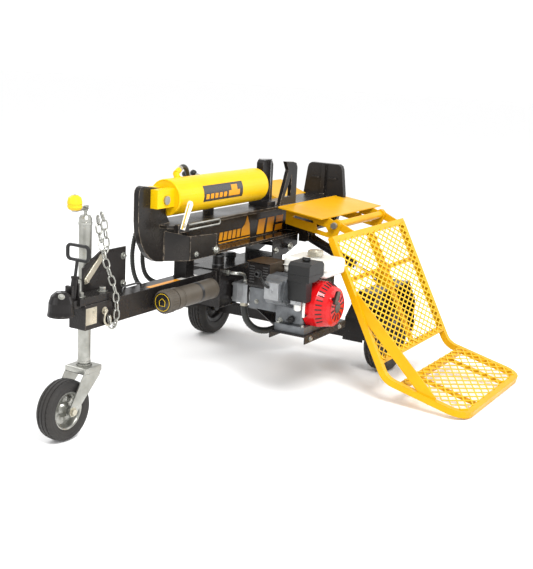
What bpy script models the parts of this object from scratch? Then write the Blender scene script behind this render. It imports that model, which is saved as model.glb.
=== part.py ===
"""Towable hydraulic log splitter with a side log lifter. Metres, +Z up.

Machine frame while building: X along the splitting beam (coupler at -X), Y across
(engine and log lifter at -Y), Z up from the ground, X = 0 at the axle.  The last
lines shift every piece so that the origin is the bottom centre of the whole machine.
"""
import math

import bmesh
import bpy
from mathutils import Matrix, Vector

# ---------------------------------------------------------------- driving sizes
GAP = 0.0003                     # air between pieces that touch
SHIFT = (0.7265, 0.26795, 0.0)   # machine frame -> bottom centre of the bounding box

WHEEL_R, WHEEL_W, TRACK_HALF = 0.150, 0.100, 0.500
TONGUE_X0, TONGUE_W, TONGUE_Z0, TONGUE_Z1 = -1.605, 0.076, 0.434, 0.526
TANK_X0, TANK_X1, TANK_Y0, TANK_Y1, TANK_Z0, TANK_Z1 = -0.7715, -0.250, -0.055, 0.085, 0.367, 0.530

BEAM_X0, BEAM_X1, BEAM_W, BEAM_Z0, BEAM_Z1 = -1.030, 0.235, 0.150, 0.612, 0.762
FLANGE_T, WEB_T = 0.012, 0.010
FOOT_T = 0.030

CYL_Z, CYL_R, CYL_X0 = 0.862, 0.073, -1.100
CYL_PIN_X, ROD_R = -1.155, 0.030
WEDGE_X0, WEDGE_BEVEL_X, WEDGE_EDGE_X, WEDGE_TOP = -0.395, -0.327, -0.290, 0.968

JOCKEY_X, JOCKEY_Y, JOCKEY_TUBE_R = -1.488, 0.068, 0.024
JOCKEY_TRAIL, JOCKEY_R, JOCKEY_W = 0.112, 0.115, 0.070

HINGE_Y, HINGE_Z, HINGE_R = -0.335, 0.700, 0.0095
TABLE_X0, TABLE_X1 = -0.345, 0.280
ARM_FRONT_X, ARM_REAR_X, ARM_T = -0.270, 0.198, 0.008

LIFT_X0, LIFT_X1, RAIL = -0.466, 0.256, 0.028
PANEL_TOP = (-0.423, 0.669)
TRAY_OUT = (-1.075, 0.021)
LIFT_CYL_X, LIFT_BASE, LIFT_EYE = -0.100, (-0.110, 0.600), (-0.496, 0.446)

ENGINE_X, CRANK_Z, DECK_Z = -0.650, 0.430, 0.320

# ---------------------------------------------------------------- materials
PAINTS = {
    "black_paint": ((0.022, 0.021, 0.020), 0.42, 0.0),
    "yellow_paint": ((0.86, 0.55, 0.02), 0.38, 0.0),
    "zinc": ((0.62, 0.64, 0.64), 0.35, 0.9),
    "chrome": ((0.80, 0.80, 0.80), 0.12, 1.0),
    "tyre_rubber": ((0.020, 0.020, 0.020), 0.80, 0.0),
    "hose_rubber": ((0.030, 0.030, 0.030), 0.65, 0.0),
    "cast_alloy": ((0.45, 0.46, 0.47), 0.50, 0.8),
    "red_paint": ((0.60, 0.015, 0.020), 0.30, 0.0),
    "white_paint": ((0.80, 0.79, 0.72), 0.35, 0.0),
    "black_plastic": ((0.030, 0.030, 0.030), 0.55, 0.0),
    "drab_plastic": ((0.17, 0.155, 0.13), 0.50, 0.0),
    "yellow_plastic": ((0.80, 0.62, 0.02), 0.45, 0.0),
}

for old in list(bpy.data.objects):
    bpy.data.objects.remove(old, do_unlink=True)


def paint(name):
    """The Principled material called name, made on first use."""
    mat = bpy.data.materials.get(name)
    if mat is None:
        colour, rough, metal = PAINTS[name]
        mat = bpy.data.materials.new(name)
        mat.use_nodes = True
        shader = mat.node_tree.nodes["Principled BSDF"]
        shader.inputs["Base Color"].default_value = (*colour, 1.0)
        shader.inputs["Roughness"].default_value = rough
        shader.inputs["Metallic"].default_value = metal
        mat.diffuse_color = (*colour, 1.0)
    return mat


# ---------------------------------------------------------------- shape helpers
def finish(name, bm, mat):
    """Turn a bmesh into a named object with outward normals."""
    bmesh.ops.recalc_face_normals(bm, faces=bm.faces)
    mesh = bpy.data.meshes.new(name)
    bm.to_mesh(mesh)
    bm.free()
    mesh.materials.append(paint(mat))
    obj = bpy.data.objects.new(name, mesh)
    bpy.context.scene.collection.objects.link(obj)
    return obj


def soften(obj, width, segments=2):
    """Round an object's sharp edges."""
    mod = obj.modifiers.new("soft_edges", "BEVEL")
    mod.width = width
    mod.segments = segments
    mod.limit_method = "ANGLE"
    mod.angle_limit = math.radians(40)
    return obj


def box(name, lo, hi, mat="black_paint"):
    """Axis-aligned block between two corners."""
    bm = bmesh.new()
    bmesh.ops.create_cube(bm, size=1.0)
    size = [hi[i] - lo[i] for i in range(3)]
    mid = [(hi[i] + lo[i]) / 2 for i in range(3)]
    bmesh.ops.scale(bm, vec=size, verts=bm.verts)
    bmesh.ops.translate(bm, vec=mid, verts=bm.verts)
    return finish(name, bm, mat)


def prism(name, outline, axis, a, b, mat="black_paint"):
    """Closed outline extruded along X (y, z points), Y (x, z points) or Z (x, y points)."""
    place = {
        "X": lambda p, d: (d, p[0], p[1]),
        "Y": lambda p, d: (p[0], d, p[1]),
        "Z": lambda p, d: (p[0], p[1], d),
    }[axis]
    bm = bmesh.new()
    low = [bm.verts.new(place(p, a)) for p in outline]
    top = [bm.verts.new(place(p, b)) for p in outline]
    bm.faces.new(low)
    bm.faces.new(list(reversed(top)))
    n = len(outline)
    for i in range(n):
        j = (i + 1) % n
        bm.faces.new((low[i], top[i], top[j], low[j]))
    return finish(name, bm, mat)


def lathe(name, profile, start, direction, mat, segments=32):
    """Revolve (radius, distance) points about the line from start along direction.

    A profile that begins and ends on the axis gives a solid; any other profile is
    closed on itself and gives a ring.
    """
    solid = profile[0][0] == 0.0 and profile[-1][0] == 0.0
    turn = Vector((0, 0, 1)).rotation_difference(Vector(direction)).to_matrix().to_4x4()
    place = Matrix.Translation(Vector(start)) @ turn
    bm = bmesh.new()
    rings = []
    for radius, dist in profile:
        if radius == 0.0:
            rings.append([bm.verts.new(place @ Vector((0, 0, dist)))])
            continue
        ring = []
        for i in range(segments):
            t = 2 * math.pi * i / segments
            ring.append(bm.verts.new(place @ Vector((radius * math.cos(t), radius * math.sin(t), dist))))
        rings.append(ring)
    pairs = list(zip(rings, rings[1:]))
    if not solid:
        pairs.append((rings[-1], rings[0]))
    for one, two in pairs:
        for i in range(segments):
            j = (i + 1) % segments
            corners = [one[i % len(one)], one[j % len(one)], two[j % len(two)], two[i % len(two)]]
            face = []
            for vert in corners:
                if vert not in face:
                    face.append(vert)
            bm.faces.new(face)
    obj = finish(name, bm, mat)
    obj.data.shade_smooth()
    obj.data.set_sharp_from_angle(angle=math.radians(35))
    return obj


def rod(name, start, end, radius, mat, segments=24):
    """Plain round bar between two points."""
    line = Vector(end) - Vector(start)
    profile = [(0.0, 0.0), (radius, 0.0), (radius, line.length), (0.0, line.length)]
    return lathe(name, profile, start, line.normalized(), mat, segments)


def bar(name, start, end, across, width, depth, mat):
    """Rectangular bar between two points; width runs along across."""
    line = (Vector(end) - Vector(start)).normalized()
    side = Vector(across).normalized()
    up = line.cross(side).normalized()
    bm = bmesh.new()
    verts = []
    for point in (start, end):
        for s, t in ((-1, -1), (1, -1), (1, 1), (-1, 1)):
            verts.append(bm.verts.new(Vector(point) + side * (s * width / 2) + up * (t * depth / 2)))
    for face in ((0, 1, 2, 3), (7, 6, 5, 4), (0, 4, 5, 1), (1, 5, 6, 2), (2, 6, 7, 3), (3, 7, 4, 0)):
        bm.faces.new([verts[i] for i in face])
    return finish(name, bm, mat)


def swept_square(name, path, side, mat):
    """Square bar along a path of points, carried round its bends without twist."""
    pts = [Vector(p) for p in path]
    across = Vector((1, 0, 0))
    bm = bmesh.new()
    rings = []
    for i, point in enumerate(pts):
        into = (pts[i] - pts[i - 1]).normalized() if i else None
        out = (pts[i + 1] - pts[i]).normalized() if i + 1 < len(pts) else None
        if into is None:
            into = out
        if out is None:
            out = into
        tangent = (into + out).normalized()
        across = (across - tangent * across.dot(tangent)).normalized()
        up = tangent.cross(across).normalized()
        stretch = 1.0 / max(0.5, tangent.dot(out))
        turn = into.cross(out)
        sideways = abs(turn.dot(up)) > abs(turn.dot(across))
        wide, tall = (stretch, 1.0) if sideways else (1.0, stretch)
        ring = []
        for s, t in ((-1, -1), (1, -1), (1, 1), (-1, 1)):
            ring.append(bm.verts.new(point + across * (s * side / 2 * wide) + up * (t * side / 2 * tall)))
        rings.append(ring)
    bm.faces.new(rings[0])
    bm.faces.new(list(reversed(rings[-1])))
    for one, two in zip(rings, rings[1:]):
        for i in range(4):
            j = (i + 1) % 4
            bm.faces.new((one[i], two[i], two[j], one[j]))
    return finish(name, bm, mat)


def smooth_path(points, step):
    """Catmull-Rom curve through points, read about every step metres."""
    pts = [Vector(p) for p in points]
    ext = [pts[0] * 2 - pts[1]] + pts + [pts[-1] * 2 - pts[-2]]
    out = []
    for i in range(1, len(ext) - 2):
        p0, p1, p2, p3 = ext[i - 1: i + 3]
        count = max(1, round((p2 - p1).length / step))
        for k in range(count):
            t = k / count
            out.append(0.5 * (2 * p1 + (p2 - p0) * t + (2 * p0 - 5 * p1 + 4 * p2 - p3) * t ** 2
                              + (3 * p1 - p0 - 3 * p2 + p3) * t ** 3))
    out.append(pts[-1])
    return out


def tube(name, points, radius, mat, resolution=2):
    """Round solid tube along points, as a bevelled curve."""
    curve = bpy.data.curves.new(name, "CURVE")
    curve.dimensions = "3D"
    curve.bevel_depth = radius
    curve.bevel_resolution = resolution
    curve.use_fill_caps = True
    spline = curve.splines.new("POLY")
    spline.points.add(len(points) - 1)
    for slot, point in zip(spline.points, points):
        slot.co = (*point, 1.0)
    curve.materials.append(paint(mat))
    obj = bpy.data.objects.new(name, curve)
    bpy.context.scene.collection.objects.link(obj)
    return obj


def combine(target, operation, others):
    """Boolean other shapes into target; the helpers stay hidden."""
    for other in others:
        mod = target.modifiers.new(operation.lower(), "BOOLEAN")
        mod.operation = operation
        mod.solver = "EXACT"
        mod.object = other
        other.hide_render = True
        other.display_type = "WIRE"
    return target


def add(target, *others):
    return combine(target, "UNION", others)


def cut(target, *others):
    return combine(target, "DIFFERENCE", others)


def pivot(obj, point):
    """Move an object's origin to its joint without moving its shape."""
    offset = Vector(point)
    obj.data.transform(Matrix.Translation(-offset))
    obj.location = offset
    for mod in obj.modifiers:
        if mod.type == "BOOLEAN":
            helper = mod.object
            helper.parent = obj
            helper.matrix_parent_inverse = Matrix.Translation(-offset)
    return obj


def arc(cx, cy, radius, start_deg, end_deg, count):
    """Points on an arc, both ends included."""
    out = []
    for i in range(count + 1):
        t = math.radians(start_deg + (end_deg - start_deg) * i / count)
        out.append((cx + radius * math.cos(t), cy + radius * math.sin(t)))
    return out


def lerp(p, q, t):
    return tuple(a + (b - a) * t for a, b in zip(p, q))


# ---------------------------------------------------------------- drawbar and coupler
half = TONGUE_W / 2
tongue = box("tongue", (TONGUE_X0, -half, TONGUE_Z0), (TANK_X0 - GAP, half, TONGUE_Z1))
cut(tongue, box("tongue_bore", (TONGUE_X0 + 0.006, -half + 0.005, TONGUE_Z0 + 0.005),
                (TANK_X0 + 0.05, half - 0.005, TONGUE_Z1 - 0.005)))
add(
    tongue,
    prism("drawbar_plate_shape", [(-1.535, 0.470), (-1.290, 0.470), (-1.290, 0.690), (-1.440, 0.690),
                                  (-1.535, 0.640)], "Y", half - 0.001, half + 0.005),
    box("beam_post_shape", (-0.985, -0.030, TONGUE_Z1 - 0.002), (-0.930, 0.030, BEAM_Z0 - GAP)),
    box("canister_saddle_shape", (-1.070, -0.0475, 0.455), (-0.930, -half + 0.001, 0.500)),
)

coupler = box("coupler_body", (-1.630, -0.034, TONGUE_Z1 + GAP), (-1.440, 0.034, 0.552))
dome = lathe(
    "coupler_dome_shape",
    [(0.0, 0.090), (0.020, 0.086), (0.036, 0.072), (0.044, 0.048), (0.046, 0.020), (0.048, 0.006), (0.048, 0.0),
     (0.029, 0.0), (0.028, 0.030), (0.020, 0.050), (0.0, 0.058)],
    (-1.690, 0.0, 0.500), (0, 0, 1), "black_paint", 28)
neck = box("coupler_neck_shape", (-1.654, -0.026, 0.520), (-1.615, 0.026, 0.549))
sleeve = rod("coupler_sleeve_shape", (-1.6325, 0.0, 0.540), (-1.6175, 0.0, 0.630), 0.0125, "black_paint", 16)
bolts = [rod("coupler_bolt_shape_%d" % i, (x, 0.0, 0.550), (x, 0.0, 0.566), 0.011, "black_paint", 6)
         for i, x in enumerate((-1.592, -1.471))]
add(coupler, neck, dome, sleeve, *bolts)

PLUNGER_LOW, PLUNGER_DIR = Vector((-1.6174, 0.0, 0.6305)), Vector((0.1644, 0.0, 0.9864))
stem = lathe("coupler_plunger", [(0.0, 0.0), (0.0060, 0.0), (0.0060, 0.060), (0.0, 0.060)],
             PLUNGER_LOW, PLUNGER_DIR, "black_plastic", 14)
ring_mid = PLUNGER_LOW + PLUNGER_DIR * 0.083
loop = []
for cy, cz, a0 in ((0.034, 0.012, 0), (-0.034, 0.012, 90), (-0.034, -0.012, 180), (0.034, -0.012, 270)):
    loop += [(ring_mid.x, ring_mid.y + y, ring_mid.z + z) for y, z in arc(cy, cz, 0.014, a0, a0 + 90, 4)]
bm = bmesh.new()
rings = []
for i, point in enumerate(loop):
    before, after = Vector(loop[i - 1]), Vector(loop[(i + 1) % len(loop)])
    tangent = (after - before).normalized()
    side = Vector((1, 0, 0)).cross(tangent)
    turns = [2 * math.pi * k / 8 for k in range(8)]
    rings.append([bm.verts.new(Vector(point) + Vector((0.0075 * math.cos(t), 0, 0)) + side * 0.0065 * math.sin(t))
                  for t in turns])
for i, ring in enumerate(rings):
    nxt = rings[(i + 1) % len(rings)]
    for k in range(8):
        bm.faces.new((ring[k], ring[(k + 1) % 8], nxt[(k + 1) % 8], nxt[k]))
plunger_ring = finish("plunger_ring_shape", bm, "black_plastic")
add(stem, plunger_ring)
pivot(stem, PLUNGER_LOW)

# ---------------------------------------------------------------- jockey wheel
JX, JY = JOCKEY_X, JOCKEY_Y
clamp = box("jockey_clamp", (JX - 0.036, half + 0.005 + GAP, 0.530), (JX + 0.036, 0.102, 0.590), "zinc")
cut(clamp, rod("clamp_bore", (JX, JY, 0.50), (JX, JY, 0.62), JOCKEY_TUBE_R + GAP, "zinc", 32),
    box("clamp_slit", (JX - 0.002, 0.085, 0.50), (JX + 0.002, 0.12, 0.62), "zinc"))
soften(clamp, 0.004)
lathe("jockey_tube",
      [(JOCKEY_TUBE_R, 0.0), (JOCKEY_TUBE_R, 0.545), (0.018, 0.556), (0.0075, 0.556), (0.0075, 0.540),
       (0.0215, 0.540), (0.0215, 0.0)],
      (JX, JY, 0.270), (0, 0, 1), "zinc", 32)
leg = lathe("jockey_leg",
            [(0.0207, 0.0), (0.0207, 0.430), (0.0180, 0.430), (0.0180, 0.020), (0.0110, 0.020), (0.0110, 0.0)],
            (JX, JY, 0.262 + GAP), (0, 0, 1), "zinc", 28)
leg_ring = lathe("leg_collar_shape", [(0.0200, 0.0), (0.0300, 0.0), (0.0300, 0.006), (0.0200, 0.006)],
                 (JX, JY, 0.262 + GAP), (0, 0, 1), "zinc", 28)
add(leg, leg_ring)

crank = lathe("jockey_crank", [(0.0, 0.0), (0.0060, 0.0), (0.0060, 0.047), (0.0090, 0.047), (0.0090, 0.062),
                               (0.0, 0.062)], (JX, JY, 0.795), (0, 0, 1), "zinc", 16)
KNOB = (JX - 0.075, JY - 0.015)
add(crank,
    bar("crank_arm_shape", (JX + 0.008, JY + 0.002, 0.851), (KNOB[0] - 0.008, KNOB[1] - 0.002, 0.851),
        (0.196, -0.981, 0), 0.018, 0.006, "zinc"),
    rod("crank_peg_shape", (*KNOB, 0.850), (*KNOB, 0.9090), 0.005, "zinc", 12))
pivot(crank, (JX, JY, 0.795))
knob = lathe("crank_knob",
             [(0.0056, 0.0), (0.0200, 0.0), (0.0255, 0.006), (0.0265, 0.030), (0.0230, 0.044), (0.0120, 0.052),
              (0.0056, 0.052)],
             (*KNOB, 0.8546), (0, 0, 1), "yellow_plastic", 24)
pivot(knob, (*KNOB, 0.8546))

WX = JX - JOCKEY_TRAIL
WZ = JOCKEY_R
fork = box("jockey_fork", (JX - 0.050, JY - 0.050, 0.238), (JX + 0.045, JY + 0.050, 0.262), "zinc")
soften(fork, 0.004)
cheek = [(JX - 0.046, 0.2505), (JX + 0.040, 0.2505), (JX + 0.036, 0.225), (WX + 0.020, WZ - 0.008),
         (WX + 0.008, WZ - 0.020), (WX - 0.010, WZ - 0.019), (WX - 0.020, WZ - 0.004), (WX - 0.017, WZ + 0.012)]
add(fork,
    prism("fork_near_shape", cheek, "Y", JY - 0.0475, JY - 0.0425, "zinc"),
    prism("fork_far_shape", cheek, "Y", JY + 0.0425, JY + 0.0475, "zinc"),
    rod("fork_axle_shape", (WX, JY - 0.056, WZ), (WX, JY + 0.056, WZ), 0.0080, "zinc", 16),
    rod("fork_stud_shape", (JX, JY, 0.255), (JX, JY, 0.300), 0.0100, "zinc", 16))
pivot(fork, (JX, JY, 0.262))
hw = JOCKEY_W / 2
rim = lathe("jockey_rim",
            [(0.0083, -0.030), (0.0190, -0.030), (0.0190, -0.020), (0.0280, -0.006), (0.0560, -0.006),
             (0.0640, -0.024), (0.0720, -0.026), (0.0720, 0.026), (0.0640, 0.024), (0.0560, 0.000),
             (0.0280, 0.000), (0.0190, 0.020), (0.0190, 0.030), (0.0083, 0.030)],
            (WX, JY, WZ), (0, 1, 0), "zinc", 28)
pivot(rim, (WX, JY, WZ))
tyre = lathe("jockey_tyre",
             [(0.0723, -0.027), (0.0800, -0.031), (0.0980, -hw), (0.1080, -hw + 0.003), (0.1140, -0.022),
              (JOCKEY_R, 0.0), (0.1140, 0.022), (0.1080, hw - 0.003), (0.0980, hw), (0.0800, 0.031),
              (0.0723, 0.027)],
             (WX, JY, WZ), (0, 1, 0), "tyre_rubber", 28)
pivot(tyre, (WX, JY, WZ))

LEVER_PIVOT = (-1.520, 0.592)
lever = prism("clamp_lever",
              [(-1.528, 0.580), (-1.514, 0.581), (-1.428, 0.660), (-1.412, 0.680), (-1.419, 0.690), (-1.436, 0.684),
               (-1.530, 0.600)],
              "Y", half - 0.0075, half - 0.001 - GAP, "zinc")
soften(lever, 0.001, 1)
pivot(lever, (LEVER_PIVOT[0], half - 0.004, LEVER_PIVOT[1]))

CHAIN = [(-1.446, 0.046, 0.822), (-1.452, 0.034, 0.770), (-1.462, 0.010, 0.715), (-1.470, -0.014, 0.665),
         (-1.468, -0.036, 0.610), (-1.458, -0.050, 0.560), (-1.452, -0.053, 0.505), (-1.452, -0.053, 0.450),
         (-1.466, -0.053, 0.420), (-1.486, -0.053, 0.436), (-1.494, -0.050, 0.470)]
tube("safety_chain", smooth_path(CHAIN, 0.026), 0.005, "zinc", 2)

# ---------------------------------------------------------------- document canister
CAN_Y, CAN_Z = -0.090, 0.477
lathe("canister",
      [(0.0, 0.0), (0.0340, 0.0), (0.0340, 0.020), (0.0450, 0.020), (0.0450, 0.050), (0.0415, 0.054),
       (0.0415, 0.290), (0.0360, 0.300), (0.0, 0.300)],
      (-1.180, CAN_Y, CAN_Z), (1, 0, 0), "drab_plastic", 32)
cap = lathe("canister_cap",
            [(0.0, 0.0), (0.0400, 0.0), (0.0450, 0.004), (0.0450, 0.055), (0.0345, 0.055), (0.0345, 0.0395),
             (0.0, 0.0395)],
            (-1.220, CAN_Y, CAN_Z), (1, 0, 0), "drab_plastic", 32)
pivot(cap, (-1.220, CAN_Y, CAN_Z))

# ---------------------------------------------------------------- tank, axle, fenders, wheels
tank = box("hydraulic_tank", (TANK_X0, TANK_Y0, TANK_Z0), (TANK_X1, TANK_Y1, TANK_Z1))
add(tank, box("tank_wing_shape", (-0.540, -0.410, TANK_Z0 + 0.010), (-0.400, TANK_Y0 + 0.010, TANK_Z1 - 0.025)))
cut(tank, box("tank_hollow", (TANK_X0 + 0.004, TANK_Y0 + 0.004, TANK_Z0 + 0.004),
              (TANK_X1 - 0.004, TANK_Y1 - 0.004, TANK_Z1 - 0.004)))
add(tank,
    rod("filter_head_shape", (-0.735, -0.020, TANK_Z1 - 0.003), (-0.735, -0.020, 0.582), 0.026, "black_paint"),
    rod("filler_neck_shape", (-0.560, 0.030, TANK_Z1 - 0.003), (-0.560, 0.030, 0.545), 0.020, "black_paint"))
cut(tank, rod("filler_bore", (-0.560, 0.030, TANK_Z1 - 0.02), (-0.560, 0.030, 0.56), 0.014, "black_paint", 24))
filler = lathe("filler_cap", [(0.0, 0.0), (0.0240, 0.0), (0.0240, 0.018), (0.0200, 0.022), (0.0, 0.022)],
               (-0.560, 0.030, 0.545 + GAP), (0, 0, 1), "black_plastic", 24)
pivot(filler, (-0.560, 0.030, 0.545))

AXLE_Z = WHEEL_R
axle = box("axle_frame", (-0.025, -0.4265, AXLE_Z - 0.025), (0.025, 0.4265, AXLE_Z + 0.025))
side_plate = [(-0.430, TANK_Z0 - GAP), (-0.255, TANK_Z0 - GAP), (-0.060, 0.330), (0.030, 0.200), (0.030, 0.122),
              (-0.060, 0.122)]
add(axle,
    prism("side_plate_near_shape", side_plate, "Y", TANK_Y0 + 0.004, TANK_Y0 + 0.012),
    prism("side_plate_far_shape", side_plate, "Y", TANK_Y1 - 0.012, TANK_Y1 - 0.004),
    rod("stub_near_shape", (0, -0.420, AXLE_Z), (0, -0.556, AXLE_Z), 0.0125, "black_paint", 20),
    rod("stub_far_shape", (0, 0.420, AXLE_Z), (0, 0.556, AXLE_Z), 0.0125, "black_paint", 20))

bracket = box("rear_bracket", (-0.367, -0.074, TANK_Z1 + GAP), (-0.140, 0.074, BEAM_Z0 - GAP))
cut(bracket,
    prism("bracket_hollow", [(-0.40, 0.52), (-0.40, 0.606), (-0.10, 0.606), (-0.10, 0.52)], "Y", -0.068, 0.068),
    prism("bracket_slope", [(-0.250, 0.5295), (-0.105, 0.5295), (-0.105, 0.575)], "Y", -0.10, 0.10))
add(bracket, rod("pivot_bolt_shape", (-0.245, -0.093, 0.569), (-0.245, 0.093, 0.569), 0.0110, "zinc", 16))

FENDER = [(-0.315, 0.200), (-0.300, 0.300), (-0.190, 0.400), (0.180, 0.400), (0.270, 0.300), (0.285, 0.130)]
FENDER_INSIDE = [(-0.312, 0.200), (-0.2972, 0.2985), (-0.1888, 0.397), (0.1787, 0.397), (0.2672, 0.2988),
                 (0.282, 0.130)]
for side, word in ((-1, "near"), (1, "far")):
    inner, outer = sorted((side * 0.4268, side * 0.4298)), sorted((side * 0.4268, side * 0.525))
    panel = prism("fender_" + word, FENDER, "Y", inner[0], inner[1])
    skin = FENDER + list(reversed(FENDER_INSIDE))
    add(panel, prism("fender_skin_%s_shape" % word, skin, "Y", outer[0], outer[1]))
    cut(panel, rod("fender_hole_" + word, (0, side * 0.40, AXLE_Z), (0, side * 0.45, AXLE_Z), 0.020, "black_paint"))
    wheel_y = side * TRACK_HALF
    ww = WHEEL_W / 2
    wheel_rim = lathe(word + "_rim",
                      [(0.0135, -0.045), (0.0300, -0.045), (0.0300, -0.022), (0.0600, -0.014), (0.0720, -0.030),
                       (0.0900, -0.034), (0.0900, 0.034), (0.0720, 0.030), (0.0600, 0.004), (0.0300, -0.004),
                       (0.0300, 0.042), (0.0135, 0.042)],
                      (0, wheel_y, AXLE_Z), (0, side, 0), "black_paint", 28)
    pivot(wheel_rim, (0, wheel_y, AXLE_Z))
    wheel_tyre = lathe(word + "_tyre",
                       [(0.0903, -0.036), (0.1000, -0.042), (0.1250, -ww), (0.1400, -ww + 0.004), (0.1480, -0.034),
                        (WHEEL_R, 0.0), (0.1480, 0.034), (0.1400, ww - 0.004), (0.1250, ww), (0.1000, 0.042),
                        (0.0903, 0.036)],
                       (0, wheel_y, AXLE_Z), (0, side, 0), "tyre_rubber", 28)
    pivot(wheel_tyre, (0, wheel_y, AXLE_Z))

# ---------------------------------------------------------------- splitting beam
bw, ft, wt = BEAM_W / 2, FLANGE_T, WEB_T / 2
section = [(-bw, BEAM_Z0), (bw, BEAM_Z0), (bw, BEAM_Z0 + ft), (wt, BEAM_Z0 + ft), (wt, BEAM_Z1 - ft),
           (bw, BEAM_Z1 - ft), (bw, BEAM_Z1), (-bw, BEAM_Z1), (-bw, BEAM_Z1 - ft), (-wt, BEAM_Z1 - ft),
           (-wt, BEAM_Z0 + ft), (-bw, BEAM_Z0 + ft)]
beam = prism("beam", section, "X", BEAM_X0, BEAM_X1)
stripper = [(-0.330, BEAM_Z1 - 0.002), (-0.180, BEAM_Z1 - 0.002), (-0.180, 0.930), (-0.192, 0.950),
            (-0.220, 0.957), (-0.285, 0.961), (-0.262, 0.921)]
window = [(-0.287, 0.800), (-0.231, 0.800), (-0.231, 0.900)]
add(beam,
    prism("stripper_near_shape", stripper, "Y", -0.0740, -0.0560),
    prism("stripper_far_shape", stripper, "Y", 0.0560, 0.0740),
    prism("lift_lug_front_shape", [(-0.004, 0.655), (-0.100, 0.655), (-0.128, 0.620), (-0.128, 0.588),
                                   (-0.112, 0.578), (-0.0755, 0.578), (-0.0755, 0.6115), (-0.004, 0.6175)],
          "X", LIFT_CYL_X - 0.034, LIFT_CYL_X - 0.026),
    prism("lift_lug_rear_shape", [(-0.004, 0.655), (-0.100, 0.655), (-0.128, 0.620), (-0.128, 0.588),
                                  (-0.112, 0.578), (-0.0755, 0.578), (-0.0755, 0.6115), (-0.004, 0.6175)],
          "X", LIFT_CYL_X + 0.026, LIFT_CYL_X + 0.034))
cut(beam, prism("stripper_window", window, "Y", -0.10, 0.10))

foot = prism("foot_plate",
             [(-0.075, BEAM_Z0), (0.075, BEAM_Z0), (0.113, 0.765), (0.096, 0.890), (0.090, 0.906), (0.076, 0.915),
              (-0.076, 0.915), (-0.090, 0.906), (-0.096, 0.890), (-0.113, 0.765)],
             "X", BEAM_X1 + GAP, BEAM_X1 + FOOT_T)
add(foot,
    box("foot_rib_shape", (0.219, -0.010, BEAM_Z1 + GAP), (0.240, 0.010, 0.908)),
    box("foot_cleat_near_shape", (0.224, -0.072, 0.840), (0.240, -0.028, 0.847)),
    box("foot_cleat_far_shape", (0.224, 0.028, 0.840), (0.240, 0.072, 0.847)))

STEM_T = 0.012
sweep = [(-1.125 + 0.155 * math.cos(math.radians(t)), 0.790 + 0.178 * math.sin(math.radians(t)))
         for t in range(270, 179, -15)]
stem_outline = ([(BEAM_X0 - GAP, BEAM_Z0)] + sweep + arc(-1.252, 0.892, 0.028, 180, 90, 3)
                + [(-1.150, 0.905), (-1.118, 0.885), (-1.107, 0.800), (-1.080, BEAM_Z1), (BEAM_X0 - GAP, BEAM_Z1)])
nose = prism("nose_plate", stem_outline, "Y", -STEM_T, STEM_T)
bow = [(-0.845, -0.0813), (-1.035, -0.0813), (-1.118, -0.006), (-1.118, 0.006), (-1.035, 0.0813), (-0.845, 0.0813),
       (-0.845, 0.0753), (-1.032, 0.0753), (-1.106, 0.004), (-1.106, -0.004), (-1.032, -0.0753), (-0.845, -0.0753)]
bow_shape = prism("bow_shape", bow, "Z", 0.600, 0.850)
bow_side = prism("bow_side_shape", [(-1.126, BEAM_Z0), (-0.840, BEAM_Z0), (-0.840, 0.700), (-1.037, 0.711),
                                    (-1.126, 0.738)], "Y", -0.10, 0.10)
combine(bow_shape, "INTERSECT", [bow_side])
flange_tip = prism("flange_tip_shape",
                   [(BEAM_X0 - GAP, -0.075), (-1.118, -0.075), (-1.150, -0.050), (-1.150, 0.050), (-1.118, 0.075),
                    (BEAM_X0 - GAP, 0.075)], "Z", BEAM_Z1 - FLANGE_T, BEAM_Z1)
add(nose, bow_shape, flange_tip,
    box("latch_plate_shape", (-1.132, -0.0920, 0.735), (-1.0605, -0.0740, 0.768)))
cut(nose, rod("stem_bore", (CYL_PIN_X, -0.03, CYL_Z), (CYL_PIN_X, 0.03, CYL_Z), 0.0128, "black_paint", 20))

# ---------------------------------------------------------------- main cylinder and wedge
barrel = lathe("cylinder_barrel",
               [(0.0, 0.0), (0.0690, 0.0), (CYL_R, 0.004), (CYL_R, 0.666), (0.0690, 0.670), (0.0560, 0.670),
                (0.0560, 0.682), (ROD_R + 0.0005, 0.682), (ROD_R + 0.0005, 0.060), (0.0, 0.060)],
               (CYL_X0, 0, CYL_Z), (1, 0, 0), "yellow_paint", 36)
eye_block = box("barrel_eye_shape", (-1.210, -0.046, 0.832), (CYL_X0 + 0.004, 0.046, 0.905), "yellow_paint")
port = rod("barrel_port_shape", (-0.985, 0.020, 0.915), (-0.985, 0.036, 0.949), 0.013, "yellow_paint", 16)
elbow = rod("barrel_elbow_shape", (-0.9876, 0.0325, 0.9461), (-0.9552, 0.0420, 0.9561), 0.0120, "yellow_paint", 16)
add(barrel, eye_block, port, elbow)
cut(barrel,
    box("eye_slot", (-1.22, -STEM_T - 0.001, 0.81), (-1.104, STEM_T + 0.001, 0.91), "yellow_paint"),
    rod("eye_bore", (CYL_PIN_X, -0.06, CYL_Z), (CYL_PIN_X, 0.06, CYL_Z), 0.0128, "yellow_paint", 20))
pin = rod("cylinder_pin", (CYL_PIN_X, -0.0460 - GAP, CYL_Z), (CYL_PIN_X, 0.060, CYL_Z), 0.0125, "zinc", 20)
add(pin, rod("pin_head_shape", (CYL_PIN_X, -0.0540, CYL_Z), (CYL_PIN_X, -0.0460 - GAP, CYL_Z), 0.0170, "zinc", 20))

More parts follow.
